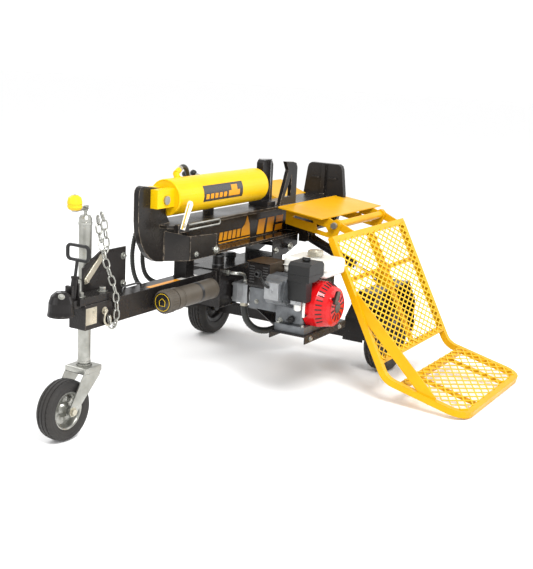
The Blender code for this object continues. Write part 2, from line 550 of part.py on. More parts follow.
ram = rod("ram_rod", (-1.030, 0, CYL_Z), (WEDGE_X0 - GAP, 0, CYL_Z), ROD_R, "chrome", 32)
pivot(ram, (WEDGE_X0, 0, CYL_Z))
bz = BEAM_Z1 + 0.0005
wedge = prism("wedge",
              [(WEDGE_X0, bz), (WEDGE_EDGE_X - 0.012, bz), (WEDGE_EDGE_X - 0.012, WEDGE_TOP),
               (WEDGE_X0 + 0.012, WEDGE_TOP), (WEDGE_X0, WEDGE_TOP - 0.012)],
              "Y", -0.016, 0.016)
tip = prism("wedge_tip_shape",
            [(WEDGE_BEVEL_X - 0.010, -0.0165), (WEDGE_BEVEL_X, -0.0165), (WEDGE_EDGE_X, 0.0),
             (WEDGE_BEVEL_X, 0.0165), (WEDGE_BEVEL_X - 0.010, 0.0165)], "Z", bz - 0.01, WEDGE_TOP + 0.01)
shoe = box("wedge_shoe_shape", (WEDGE_X0, -0.0500, bz), (WEDGE_BEVEL_X, 0.0500, 0.782))
keep = box("wedge_keep_shape", (WEDGE_X0 - 0.02, -0.05, bz - 0.02), (WEDGE_BEVEL_X - 0.005, 0.05, WEDGE_TOP + 0.02))
add(keep, tip)
combine(wedge, "INTERSECT", [keep])
add(wedge, shoe)
pivot(wedge, (WEDGE_X0, 0, CYL_Z))

# ---------------------------------------------------------------- tables and lifter hinge
table = prism("table_near",
              [(-bw - GAP * 5, 0.7600), (-0.300, 0.7330), (-0.300, 0.7280), (-bw - GAP * 5, 0.7550)],
              "X", TABLE_X0, TABLE_X1, "yellow_paint")
arm_outline = [(-bw - GAP * 5, 0.7560), (-0.297, 0.7300), (-0.318, 0.7200), (-0.340, 0.7260), (-0.356, 0.7160),
               (-0.361, 0.7000), (-0.356, 0.6800), (-0.340, 0.6450), (-0.325, 0.6360), (-bw - GAP * 5, 0.6760)]
slots = [[(-0.120, 0.7200), (-0.215, 0.7080), (-0.225, 0.7000), (-0.215, 0.6950), (-0.115, 0.7080)],
         [(-0.235, 0.6930), (-0.285, 0.6860), (-0.298, 0.6680), (-0.285, 0.6610), (-0.240, 0.6700)]]
for x, word in ((ARM_FRONT_X, "front"), (ARM_REAR_X, "rear")):
    arm = prism("arm_%s_shape" % word, arm_outline, "X", x, x + ARM_T, "yellow_paint")
    add(table, arm)
    cut(table, *[prism("arm_slot_%s_%d" % (word, i), s, "X", x - 0.01, x + ARM_T + 0.01, "yellow_paint")
                 for i, s in enumerate(slots)])
cut(table, box("foot_notch", (0.2320, -0.1180, 0.740), (0.2680, -0.0700, 0.770), "yellow_paint"),
    rod("arm_bore", (-0.40, HINGE_Y, HINGE_Z), (0.40, HINGE_Y, HINGE_Z), HINGE_R + GAP, "yellow_paint", 20))
hinge = rod("hinge_rod", (-0.290, HINGE_Y, HINGE_Z), (0.236, HINGE_Y, HINGE_Z), HINGE_R, "zinc", 20)
add(hinge, rod("hinge_head_shape", (-0.296, HINGE_Y, HINGE_Z), (-0.288, HINGE_Y, HINGE_Z), 0.015, "zinc", 6))

far_table = prism("table_far",
                  [(bw + GAP * 5, 0.7600), (0.230, 0.8150), (0.230, 0.8100), (bw + GAP * 5, 0.7550)],
                  "X", -0.090, 0.200, "yellow_paint")
add(far_table, *[prism("far_brace_shape_%d" % i,
                       [(bw + GAP * 5, 0.7580), (0.220, 0.8090), (0.200, 0.7900), (bw + GAP * 5, 0.6500)],
                       "X", x, x + 0.008, "yellow_paint") for i, x in enumerate((-0.050, 0.152))])

# ---------------------------------------------------------------- log lifter
def on_lifter(x, yz):
    return (x, yz[0], yz[1])


def bend(p, corner, q, radius, count):
    """Points of a rounded corner between two straight runs."""
    p, corner, q = Vector(p), Vector(corner), Vector(q)
    a, b = (p - corner).normalized(), (q - corner).normalized()
    angle = a.angle(b)
    reach = radius / math.tan(angle / 2)
    centre = corner + (a + b).normalized() * (radius / math.sin(angle / 2))
    start, end = corner + a * reach, corner + b * reach
    u, v = start - centre, end - centre
    total = u.angle(v)
    out = []
    for i in range(count + 1):
        t = i / count
        out.append(centre + (u * math.sin((1 - t) * total) + v * math.sin(t * total)) / math.sin(total))
    return out


KNEE = (-0.716, 0.107)
PANEL_LOW = lerp(PANEL_TOP, KNEE, 0.885)
frame_corners = [on_lifter(LIFT_X0, PANEL_TOP), on_lifter(LIFT_X0, KNEE), on_lifter(LIFT_X0, TRAY_OUT),
                 on_lifter(LIFT_X1, TRAY_OUT), on_lifter(LIFT_X1, KNEE), on_lifter(LIFT_X1, PANEL_TOP)]
rail_path = [frame_corners[0]]
for i, radius in ((1, 0.090), (2, 0.070), (3, 0.070), (4, 0.090)):
    rail_path += bend(frame_corners[i - 1], frame_corners[i], frame_corners[i + 1], radius, 5)
rail_path.append(frame_corners[5])
lifter = swept_square("lifter_frame", rail_path, RAIL, "yellow_paint")
panel_dir = Vector((0, KNEE[0] - PANEL_TOP[0], KNEE[1] - PANEL_TOP[1])).normalized()
tray_dir = Vector((0, TRAY_OUT[0] - KNEE[0], TRAY_OUT[1] - KNEE[1])).normalized()
panel_out = Vector((1, 0, 0)).cross(panel_dir)
tray_out = Vector((1, 0, 0)).cross(tray_dir)
if panel_out.y > 0:
    panel_out = -panel_out
if tray_out.z < 0:
    tray_out = -tray_out


def cross_bar(name, yz, inset, width=RAIL, depth=RAIL - 0.002, along=panel_dir):
    return bar(name, (LIFT_X0 + inset, *yz), (LIFT_X1 - inset, *yz), along, width, depth, "yellow_paint")


mid = lerp(PANEL_TOP, PANEL_LOW, 0.33)
low_mid = lerp(PANEL_TOP, PANEL_LOW, 0.985)
tray_start = lerp(KNEE, TRAY_OUT, 0.20)
pieces = [
    cross_bar("lifter_top_shape", PANEL_TOP, -0.0135),
    cross_bar("lifter_mid_shape", mid, 0.0, 0.022, 0.012),
    cross_bar("lifter_low_shape", low_mid, 0.0),
    cross_bar("tray_inner_shape", tray_start, 0.0, RAIL, RAIL - 0.004, tray_dir),
]
channel_low = lerp(PANEL_TOP, PANEL_LOW, 0.50)
pieces.append(bar("lifter_channel_shape", on_lifter(LIFT_CYL_X, PANEL_TOP), on_lifter(LIFT_CYL_X, channel_low),
                  (1, 0, 0), 0.052, 0.018, "yellow_paint"))
pieces.append(bar("lifter_centre_shape", on_lifter(LIFT_CYL_X, mid), on_lifter(LIFT_CYL_X, low_mid),
                  (1, 0, 0), 0.034, 0.012, "yellow_paint"))
for i, x in enumerate((-0.285, 0.075)):
    pieces.append(bar("tray_rib_shape_%d" % i, on_lifter(x, tray_start), on_lifter(x, TRAY_OUT),
                      (1, 0, 0), 0.012, 0.016, "yellow_paint"))
pieces.append(bar("gusset_shape", on_lifter(LIFT_X0, lerp(PANEL_TOP, PANEL_LOW, 0.47)),
                  on_lifter(LIFT_X0, lerp(KNEE, TRAY_OUT, 0.60)), (1, 0, 0), 0.006, 0.050, "yellow_paint"))
ear = [(-0.314, 0.714), (-0.330, 0.7255), (-0.345, 0.7245), (-0.360, 0.710), (-0.418, 0.684), (-0.436, 0.662),
       (-0.420, 0.650), (-0.352, 0.676), (-0.322, 0.677), (-0.311, 0.690)]
for word, x in (("front", -0.2600), ("rear", ARM_REAR_X + ARM_T + 0.0030)):
    pieces.append(prism("lifter_ear_%s_shape" % word, ear, "X", x, x + 0.0100, "yellow_paint"))
pieces.append(rod("lifter_sleeve_shape", (-0.2550, HINGE_Y, HINGE_Z), (ARM_REAR_X - 0.002, HINGE_Y, HINGE_Z),
                  0.0175, "yellow_paint", 20))
lug = [(-0.520, 0.490), (-0.490, 0.492), (-0.462, 0.478), (-0.462, 0.462), (-0.482, 0.434), (-0.498, 0.424),
       (-0.520, 0.426), (-0.546, 0.440)]
eye_slot = [(-0.503, 0.438), (-0.493, 0.438), (-0.472, 0.456), (-0.471, 0.467), (-0.482, 0.468), (-0.503, 0.450)]
for word, x in (("front", LIFT_CYL_X - 0.0240), ("rear", LIFT_CYL_X + 0.0180)):
    pieces.append(prism("eye_lug_%s_shape" % word, lug, "X", x, x + 0.006, "yellow_paint"))
add(lifter, *pieces)
cut(lifter, prism("eye_slot_cut", eye_slot, "X", LIFT_CYL_X - 0.030, LIFT_CYL_X + 0.030, "yellow_paint"),
    rod("lifter_bore", (-0.40, HINGE_Y, HINGE_Z), (0.40, HINGE_Y, HINGE_Z), HINGE_R + 0.0005, "yellow_paint", 20))
pivot(lifter, (0.0, HINGE_Y, HINGE_Z))


def sheet(name, start, end, out, x0, x1):
    """Thin flat sheet lying just proud of the frame bars."""
    off = out * (RAIL / 2 + 0.0006)
    thick = out * 0.0015
    a, b = Vector((0, *start)), Vector((0, *end))
    outline = [a + off, b + off, b + off + thick, a + off + thick]
    obj = prism(name, [(p.y, p.z) for p in outline], "X", x0, x1, "yellow_paint")
    return pivot(obj, (0.0, HINGE_Y, HINGE_Z))


sheet("lifter_mesh", lerp(PANEL_TOP, PANEL_LOW, 0.02), lerp(PANEL_TOP, PANEL_LOW, 0.99), panel_out,
      LIFT_X0 + 0.004, LIFT_X1 - 0.004)
sheet("tray_mesh", lerp(KNEE, TRAY_OUT, 0.17), lerp(KNEE, TRAY_OUT, 0.97), tray_out,
      LIFT_X0 + 0.020, LIFT_X1 - 0.020)

base = Vector((LIFT_CYL_X, *LIFT_BASE))
tip_eye = Vector((LIFT_CYL_X, *LIFT_EYE))
push = (tip_eye - base).normalized()
span = (tip_eye - base).length
lift_barrel = lathe("lift_barrel",
                    [(0.0, 0.018), (0.0220, 0.018), (0.0220, 0.262), (0.0160, 0.268), (0.0112, 0.268),
                     (0.0112, 0.045), (0.0, 0.045)],
                    base, push, "black_paint", 24)
add(lift_barrel,
    rod("lift_eye_shape", base + Vector((-0.0120, 0, 0)), base + Vector((0.0120, 0, 0)), 0.0230, "black_paint", 20),
    rod("lift_pin_shape", base + Vector((-0.0250, 0, 0)), base + Vector((0.0250, 0, 0)), 0.0080, "black_paint", 12))
pivot(lift_barrel, base)
lift_rod = lathe("lift_rod", [(0.0, 0.060), (0.0105, 0.060), (0.0105, span - 0.010), (0.0, span - 0.010)],
                 base, push, "chrome", 16)
add(lift_rod,
    rod("rod_eye_shape", tip_eye + Vector((-0.0100, 0, 0)), tip_eye + Vector((0.0100, 0, 0)), 0.0150, "chrome", 16),
    rod("rod_pin_shape", tip_eye + Vector((-0.0160, 0, 0)), tip_eye + Vector((0.0160, 0, 0)), 0.0065, "chrome", 12))
pivot(lift_rod, tip_eye)

# ---------------------------------------------------------------- valve, levers, hoses
valve = box("valve_body", (-0.745, 0.088, 0.815), (-0.600, 0.142, 0.885))
soften(valve, 0.004)
add(valve, box("valve_stand_shape", (-0.700, bw + GAP, 0.700), (-0.640, 0.092, 0.820)),
    box("valve_foot_shape", (-0.700, 0.012, 0.700), (-0.640, 0.092, 0.712)))
for x, word in ((-0.715, "ram_lever"), (-0.655, "lift_lever")):
    base_point = (x, 0.115, 0.8968)
    handle = rod(word, (x, 0.1190, 0.8976), (x, 0.1750, 0.9092), 0.0050, "zinc", 10)
    add(handle,
        lathe(word + "_boot_shape", [(0.0, -0.0110), (0.0064, -0.0090), (0.0102, -0.0042), (0.0110, 0.0),
                                     (0.0095, 0.0055), (0.0055, 0.0095), (0.0, 0.0110)], base_point, (0, 0, 1),
              "zinc", 14),
        lathe(word + "_ball_shape", [(0.0, -0.013), (0.0090, -0.009), (0.0130, 0.0), (0.0090, 0.009), (0.0, 0.013)],
              (x, 0.1790, 0.9100), (0, 0.9793, 0.2025), "black_plastic", 14))
    pivot(handle, base_point)

HOSE_R = 0.010
PRESSURE = [(-0.7455, 0.125, 0.862), (-0.800, 0.126, 0.862), (-0.900, 0.124, 0.848), (-1.030, 0.120, 0.806),
            (-1.120, 0.116, 0.730), (-1.158, 0.110, 0.620), (-1.134, 0.104, 0.520), (-1.050, 0.094, 0.458),
            (-0.930, 0.078, 0.446), (-0.840, 0.061, 0.444), (-0.7727, 0.060, 0.444)]
RETURN = [(-0.7455, 0.103, 0.838), (-0.800, 0.104, 0.838), (-0.890, 0.106, 0.822), (-1.010, 0.104, 0.772),
          (-1.082, 0.101, 0.700), (-1.106, 0.099, 0.612), (-1.084, 0.096, 0.536), (-1.010, 0.088, 0.493),
          (-0.900, 0.074, 0.484), (-0.830, 0.062, 0.484), (-0.7727, 0.061, 0.484)]
RAM = [(-0.9545, 0.0422, 0.9563), (-0.9253, 0.0507, 0.9653), (-0.8947, 0.0596, 0.9638),
       (-0.8665, 0.0690, 0.9519), (-0.8441, 0.0775, 0.9311), (-0.8276, 0.0850, 0.9052),
       (-0.8049, 0.0940, 0.8846), (-0.7766, 0.1015, 0.8735), (-0.7461, 0.1030, 0.8710)]
tube("pressure_hose", smooth_path(PRESSURE, 0.042), HOSE_R, "hose_rubber")
tube("return_hose", smooth_path(RETURN, 0.042), HOSE_R, "hose_rubber")
tube("ram_hose", smooth_path(RAM, 0.042), HOSE_R, "hose_rubber")

# ---------------------------------------------------------------- beam side handles
U_HANDLE = ([(-1.0602, -0.0850, 0.7600)] + [(x, -0.0850, z) for x, z in arc(-0.842, 0.7500, 0.0100, 90, -90, 6)]
            + [(-1.0602, -0.0850, 0.7400)])
tube("u_handle", U_HANDLE, 0.0045, "zinc", 1)
tag = prism("tag_lever",
            [(-1.124, 0.752), (-1.096, 0.744), (-1.046, 0.840), (-1.050, 0.852), (-1.068, 0.858), (-1.078, 0.852)],
            "Y", -0.0975, -0.0920 - GAP, "white_paint")
soften(tag, 0.001, 1)
pivot(tag, (-1.103, -0.095, 0.764))

# ---------------------------------------------------------------- engine and pump
EX = ENGINE_X
DECK_Y0, DECK_Y1, DECK_X0 = -0.487, -0.318, -0.785
deck = box("engine_deck", (DECK_X0, DECK_Y0, DECK_Z - 0.005), (-0.420, DECK_Y1, DECK_Z))
add(deck,
    box("deck_outer_flange_shape", (DECK_X0, DECK_Y0, 0.288), (-0.420, DECK_Y0 + 0.005, DECK_Z - 0.001)),
    box("deck_inner_flange_shape", (DECK_X0, DECK_Y1 - 0.005, 0.288), (-0.420, DECK_Y1, DECK_Z - 0.001)),
    box("deck_riser_shape", (-0.535, -0.405, DECK_Z - 0.001), (-0.425, -0.325, TANK_Z0 + 0.010 - GAP)))

engine = box("engine_block", (-0.745, -0.448, 0.345), (-0.555, -0.318, 0.500), "cast_alloy")
soften(engine, 0.010)
add(engine,
    box("engine_case_shape", (-0.735, -0.440, 0.385), (-0.560, -0.186, 0.474), "cast_alloy"),
    prism("engine_cylinder_shape", [(-0.700, 0.400), (-0.805, 0.440), (-0.830, 0.470), (-0.812, 0.545),
                                    (-0.790, 0.556), (-0.660, 0.490)], "Y", -0.400, -0.308, "cast_alloy"),
    prism("head_cover_shape", [(-0.800, 0.445), (-0.838, 0.462), (-0.850, 0.500), (-0.836, 0.540), (-0.800, 0.548)],
          "Y", -0.395, -0.320, "cast_alloy"),
    rod("engine_flange_shape", (EX, -0.190, CRANK_Z), (EX, -0.1765, CRANK_Z), 0.062, "cast_alloy", 24),
    box("engine_foot_shape", (-0.765, -0.470, DECK_Z + GAP), (-0.550, -0.330, 0.350), "cast_alloy"))

pump = lathe("pump",
             [(0.0, 0.0), (0.0620, 0.0), (0.0620, 0.008), (0.0480, 0.012), (0.0480, 0.026), (0.0400, 0.030),
              (0.0400, 0.034), (0.0, 0.034)],
             (EX, -0.1762, CRANK_Z), (0, 1, 0), "cast_alloy", 28)
add(pump, box("pump_gears_shape", (EX - 0.040, -0.145, CRANK_Z - 0.045), (EX + 0.040, -0.0720, CRANK_Z + 0.038),
              "cast_alloy"))

muffler = box("muffler", (-0.775, -0.303, 0.4850), (-0.655, -0.190, 0.5900), "black_paint")
soften(muffler, 0.010)
add(muffler, box("muffler_neck_shape", (-0.715, -0.270, 0.4740 + GAP), (-0.675, -0.225, 0.490), "black_paint"))

cleaner = prism("air_cleaner",
                [(-0.805, 0.545), (-0.805, 0.610), (-0.790, 0.622), (-0.695, 0.622), (-0.680, 0.610),
                 (-0.680, 0.562), (-0.740, 0.545)],
                "Y", -0.500, -0.402, "black_plastic")
add(cleaner, prism("cleaner_throat_shape",
                   [(-0.802, 0.547), (-0.790, 0.462), (-0.747, 0.462), (-0.747, 0.552)],
                   "Y", -0.485, -0.4005, "black_plastic"))
soften(cleaner, 0.006, 1)

FUEL_CAP = (-0.590, -0.410)
fuel = box("fuel_tank", (-0.6700, -0.508, 0.5420), (-0.496, -0.300, 0.6120), "white_paint")
soften(fuel, 0.016, 3)
add(fuel, rod("fuel_neck_shape", (*FUEL_CAP, 0.600), (*FUEL_CAP, 0.618), 0.022, "white_paint", 24),
    box("fuel_stay_shape", (-0.640, -0.390, 0.5003 + GAP), (-0.600, -0.330, 0.552), "white_paint"))
cut(fuel, rod("fuel_bore", (*FUEL_CAP, 0.575), (*FUEL_CAP, 0.63), 0.016, "white_paint", 24))
fuel_cap = lathe("fuel_cap",
                 [(0.0, 0.0), (0.0300, 0.0), (0.0320, 0.004), (0.0320, 0.018), (0.0270, 0.023), (0.0, 0.023)],
                 (*FUEL_CAP, 0.618 + GAP), (0, 0, 1), "black_plastic", 24)
pivot(fuel_cap, (*FUEL_CAP, 0.618))

fan = lathe("fan_cover",
            [(0.0, 0.0), (0.0970, 0.0), (0.1020, 0.006), (0.1000, 0.052), (0.0860, 0.078), (0.0800, 0.098),
             (0.0620, 0.107), (0.0, 0.110)],
            (EX, -0.4485, CRANK_Z), (0, -1, 0), "red_paint", 32)
cut(fan, box("fan_floor", (-0.80, -0.60, 0.28), (-0.50, -0.40, 0.3505), "red_paint"))
GRIP = (-0.700, -0.5600, 0.474)
GRIP_DIR = Vector((-0.45, -0.80, 0.40)).normalized()
grip = lathe("recoil_grip", [(0.0, 0.0), (0.0060, 0.0), (0.0060, 0.016), (0.0085, 0.022), (0.0, 0.022)],
             GRIP, GRIP_DIR, "black_plastic", 12)
GRIP_MID = Vector(GRIP) + GRIP_DIR * 0.027
add(grip, bar("grip_bar_shape", GRIP_MID - Vector((0.012, 0, 0.024)), GRIP_MID + Vector((0.012, 0, 0.024)),
              GRIP_DIR, 0.014, 0.016, "black_plastic"))
pivot(grip, GRIP)

throttle = bar("throttle_lever", (-0.7700, -0.4650, 0.3950), (-0.7700, -0.4650, 0.4570), (0, 1, 0), 0.010, 0.004,
               "white_paint")
pivot(throttle, (-0.7700, -0.4650, 0.4000))
oil = lathe("oil_cap", [(0.0, 0.0), (0.0140, 0.0), (0.0140, 0.014), (0.0100, 0.020), (0.0, 0.020)],
            (-0.7455, -0.400, 0.372), (-1, 0, 0), "black_plastic", 14)
pivot(oil, (-0.7455, -0.400, 0.372))

SUCTION = [(EX, -0.108, CRANK_Z - 0.0458), (EX, -0.109, 0.350), (EX + 0.010, -0.120, 0.296),
           (EX + 0.045, -0.146, 0.256), (EX + 0.095, -0.178, 0.246), (EX + 0.145, -0.208, 0.266),
           (EX + 0.174, -0.228, 0.312), (EX + 0.176, -0.230, 0.345), (EX + 0.176, -0.230, 0.3762)]
tube("suction_hose", smooth_path(SUCTION, 0.040), 0.0150, "hose_rubber")

# ---------------------------------------------------------------- bottom-centre origin
for obj in bpy.data.objects:
    if obj.parent is None:
        obj.location = obj.location + Vector(SHIFT)
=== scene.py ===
"""Looks for the towable log splitter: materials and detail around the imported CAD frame.

Lengths are metres. Points written with M() are in the machine frame (x from the axle
towards the foot plate, y across, z up) and are moved to the row frame.
"""
import math
import random

import bmesh
import bpy
from mathutils import Matrix, Vector


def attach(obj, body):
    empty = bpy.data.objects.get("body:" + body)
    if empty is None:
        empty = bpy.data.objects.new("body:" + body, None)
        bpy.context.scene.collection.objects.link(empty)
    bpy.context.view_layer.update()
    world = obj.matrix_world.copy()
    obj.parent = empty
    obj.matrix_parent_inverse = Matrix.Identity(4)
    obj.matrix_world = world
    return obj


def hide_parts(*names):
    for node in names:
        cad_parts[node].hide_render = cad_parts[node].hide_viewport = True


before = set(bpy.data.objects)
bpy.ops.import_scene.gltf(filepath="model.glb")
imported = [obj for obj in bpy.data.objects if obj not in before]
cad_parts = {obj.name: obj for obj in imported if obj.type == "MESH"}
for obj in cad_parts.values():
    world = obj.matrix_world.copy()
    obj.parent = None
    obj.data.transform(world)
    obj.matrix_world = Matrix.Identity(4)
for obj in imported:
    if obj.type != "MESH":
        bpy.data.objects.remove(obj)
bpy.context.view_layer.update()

SHIFT = Vector((0.7265, 0.26795, 0.0))
UP, DOWN = Vector((0, 0, 1)), Vector((0, 0, -1))
FRONT, REAR = Vector((-1, 0, 0)), Vector((1, 0, 0))
NEAR, FAR = Vector((0, -1, 0)), Vector((0, 1, 0))
FILM = 0.0004  # thickness of a decal or a strip of tape
RAM_Z = 0.862  # height of the splitting cylinder's axis
RNG = random.Random(7)


def M(x, y, z):
    """A machine-frame point in the row frame."""
    return Vector((x, y, z)) + SHIFT


# ---- camera, light, floor
EYE = M(-4.271, -2.336, 1.409)
YAW, PITCH, ROLL = (math.radians(a) for a in (30.36, 12.57, 2.91))


def place_camera():
    look = Vector((math.cos(YAW) * math.cos(PITCH), math.sin(YAW) * math.cos(PITCH), -math.sin(PITCH)))
    side = Vector((math.sin(YAW), -math.cos(YAW), 0.0))
    head = side.cross(look)
    right = side * math.cos(ROLL) + head * math.sin(ROLL)
    above = head * math.cos(ROLL) - side * math.sin(ROLL)
    data = bpy.data.cameras.new("view_camera")
    data.sensor_width, data.lens = 36.0, 63.86
    data.clip_start, data.clip_end = 0.05, 60.0
    cam = bpy.data.objects.new("view_camera", data)
    bpy.context.scene.collection.objects.link(cam)
    cam.matrix_world = Matrix((
        (right.x, above.x, -look.x, EYE.x),
        (right.y, above.y, -look.y, EYE.y),
        (right.z, above.z, -look.z, EYE.z),
        (0, 0, 0, 1),
    ))
    bpy.context.scene.camera = cam


def area_light(name, at, aim, size, power):
    data = bpy.data.lights.new(name, "AREA")
    data.shape = "DISK"
    data.size, data.energy = size, power
    lamp = bpy.data.objects.new(name, data)
    bpy.context.scene.collection.objects.link(lamp)
    lamp.location = at
    lamp.rotation_mode = "QUATERNION"
    lamp.rotation_quaternion = (Vector(at) - Vector(aim)).to_track_quat("Z", "Y")


place_camera()
area_light("key_light", (-2.2, -2.6, 4.2), (0, -0.1, 0.4), 2.0, 260)
area_light("fill_light", (3.6, -2.8, 2.2), (0, 0, 0.4), 3.0, 35)
area_light("back_light", (1.0, 4.0, 3.4), (0, 0, 0.4), 3.0, 100)
area_light("front_light", (-4.6, 1.6, 2.0), (-0.4, 0, 0.5), 2.4, 30)
world = bpy.data.worlds.new("studio")
world.use_nodes = True
world.node_tree.nodes["Background"].inputs["Color"].default_value = (1.0, 1.0, 1.0, 1.0)
world.node_tree.nodes["Background"].inputs["Strength"].default_value = 1.05
bpy.context.scene.world = world
bpy.context.scene.view_settings.view_transform = "Standard"


# ---- materials
def link(tree, source, target):
    tree.links.new(source, target)


def new_node(tree, kind, **settings):
    node = tree.nodes.new(kind)
    for key, value in settings.items():
        if key in node.inputs:
            node.inputs[key].default_value = value
        else:
            setattr(node, key, value)
    return node


def noise(tree, where, scale, detail=4.0, stretch=(1, 1, 1)):
    """Noise read in the object's own metres; stretch draws it out along an axis."""
    mapping = new_node(tree, "ShaderNodeMapping")
    mapping.inputs["Scale"].default_value = stretch
    link(tree, where.outputs["Object"], mapping.inputs["Vector"])
    made = new_node(tree, "ShaderNodeTexNoise", Scale=scale, Detail=detail, Roughness=0.55)
    link(tree, mapping.outputs["Vector"], made.inputs["Vector"])
    return made.outputs["Fac"]


def remap(tree, value, low, high, to_low, to_high):
    made = new_node(tree, "ShaderNodeMapRange")
    made.inputs["From Min"].default_value, made.inputs["From Max"].default_value = low, high
    made.inputs["To Min"].default_value, made.inputs["To Max"].default_value = to_low, to_high
    link(tree, value, made.inputs["Value"])
    return made.outputs["Result"]


def maths(tree, operation, a, b):
    made = new_node(tree, "ShaderNodeMath", operation=operation)
    for slot, value in zip(made.inputs, (a, b)):
        if isinstance(value, (int, float)):
            slot.default_value = value
        else:
            link(tree, value, slot)
    return made.outputs["Value"]


def mix(tree, factor, a, b):
    """Colour mix; a and b are colours or sockets."""
    made = new_node(tree, "ShaderNodeMix", data_type="RGBA")
    link(tree, factor, made.inputs["Factor"])
    for slot, value in ((made.inputs[6], a), (made.inputs[7], b)):
        if isinstance(value, tuple):
            slot.default_value = (*value, 1.0)
        else:
            link(tree, value, slot)
    return made.outputs[2]


def surface(name, colour, second=None, rough=0.4, rough_spread=0.1, metal=0.0, blotch=5.0, grain=420.0,
        bump=0.08, stretch=(1, 1, 1), edge=0.0012, wear=None, wear_amount=0.0, dust=0.0, coat=0.0,
        specks=None, shine=0.5):
    """Principled material: blotches, fine grain, softened and worn edges, dust low down."""
    mat = bpy.data.materials.new(name)
    mat.use_nodes = True
    tree = mat.node_tree
    shader = tree.nodes["Principled BSDF"]
    where = new_node(tree, "ShaderNodeTexCoord")
    second = second or tuple(c * 0.8 for c in colour)
    blotches = noise(tree, where, blotch, 6.0)
    out = mix(tree, remap(tree, blotches, 0.35, 0.68, 0.0, 1.0), colour, second)
    fine = noise(tree, where, grain, 3.0, stretch)
    if specks:
        dots = noise(tree, where, 95.0, 2.0)
        out = mix(tree, remap(tree, dots, 0.66, 0.72, 0.0, 0.7), out, specks)
    soft = new_node(tree, "ShaderNodeBevel", samples=4)
    soft.inputs["Radius"].default_value = edge
    if wear:
        wide = new_node(tree, "ShaderNodeBevel", samples=4)
        wide.inputs["Radius"].default_value = 0.0035
        flat = new_node(tree, "ShaderNodeNewGeometry")
        dot = new_node(tree, "ShaderNodeVectorMath", operation="DOT_PRODUCT")
        link(tree, wide.outputs["Normal"], dot.inputs[0])
        link(tree, flat.outputs["Normal"], dot.inputs[1])
        corner = remap(tree, dot.outputs["Value"], 0.97, 0.8, 0.0, 1.0)
        patch = remap(tree, noise(tree, where, 38.0, 5.0), 0.62 - 0.3 * wear_amount,
            0.72 - 0.2 * wear_amount, 0.0, 1.0)
        mask = maths(tree, "MULTIPLY", corner, patch)
        out = mix(tree, mask, out, wear)
    if dust:
        split = new_node(tree, "ShaderNodeSeparateXYZ")
        link(tree, where.outputs["Object"], split.inputs["Vector"])
        low = remap(tree, split.outputs["Z"], 0.32, 0.0, 0.0, 1.0)
        film = maths(tree, "MULTIPLY", maths(tree, "MULTIPLY", low,
            remap(tree, blotches, 0.3, 0.7, 0.2, 1.0)), dust)
        out = mix(tree, film, out, (0.3, 0.27, 0.22))
    link(tree, out, shader.inputs["Base Color"])
    link(tree, remap(tree, maths(tree, "ADD", blotches, maths(tree, "MULTIPLY", fine, 0.35)), 0.4, 0.95,
        rough - rough_spread, rough + rough_spread), shader.inputs["Roughness"])
    shader.inputs["Metallic"].default_value = metal
    shader.inputs["Specular IOR Level"].default_value = shine
    shader.inputs["Coat Weight"].default_value = coat
    shader.inputs["Coat Roughness"].default_value = 0.12
    relief = new_node(tree, "ShaderNodeBump", Strength=bump, Distance=0.0008)
    link(tree, fine, relief.inputs["Height"])
    link(tree, soft.outputs["Normal"], relief.inputs["Normal"])
    link(tree, relief.outputs["Normal"], shader.inputs["Normal"])
    mat.diffuse_color = (*colour, 1.0)
    return mat


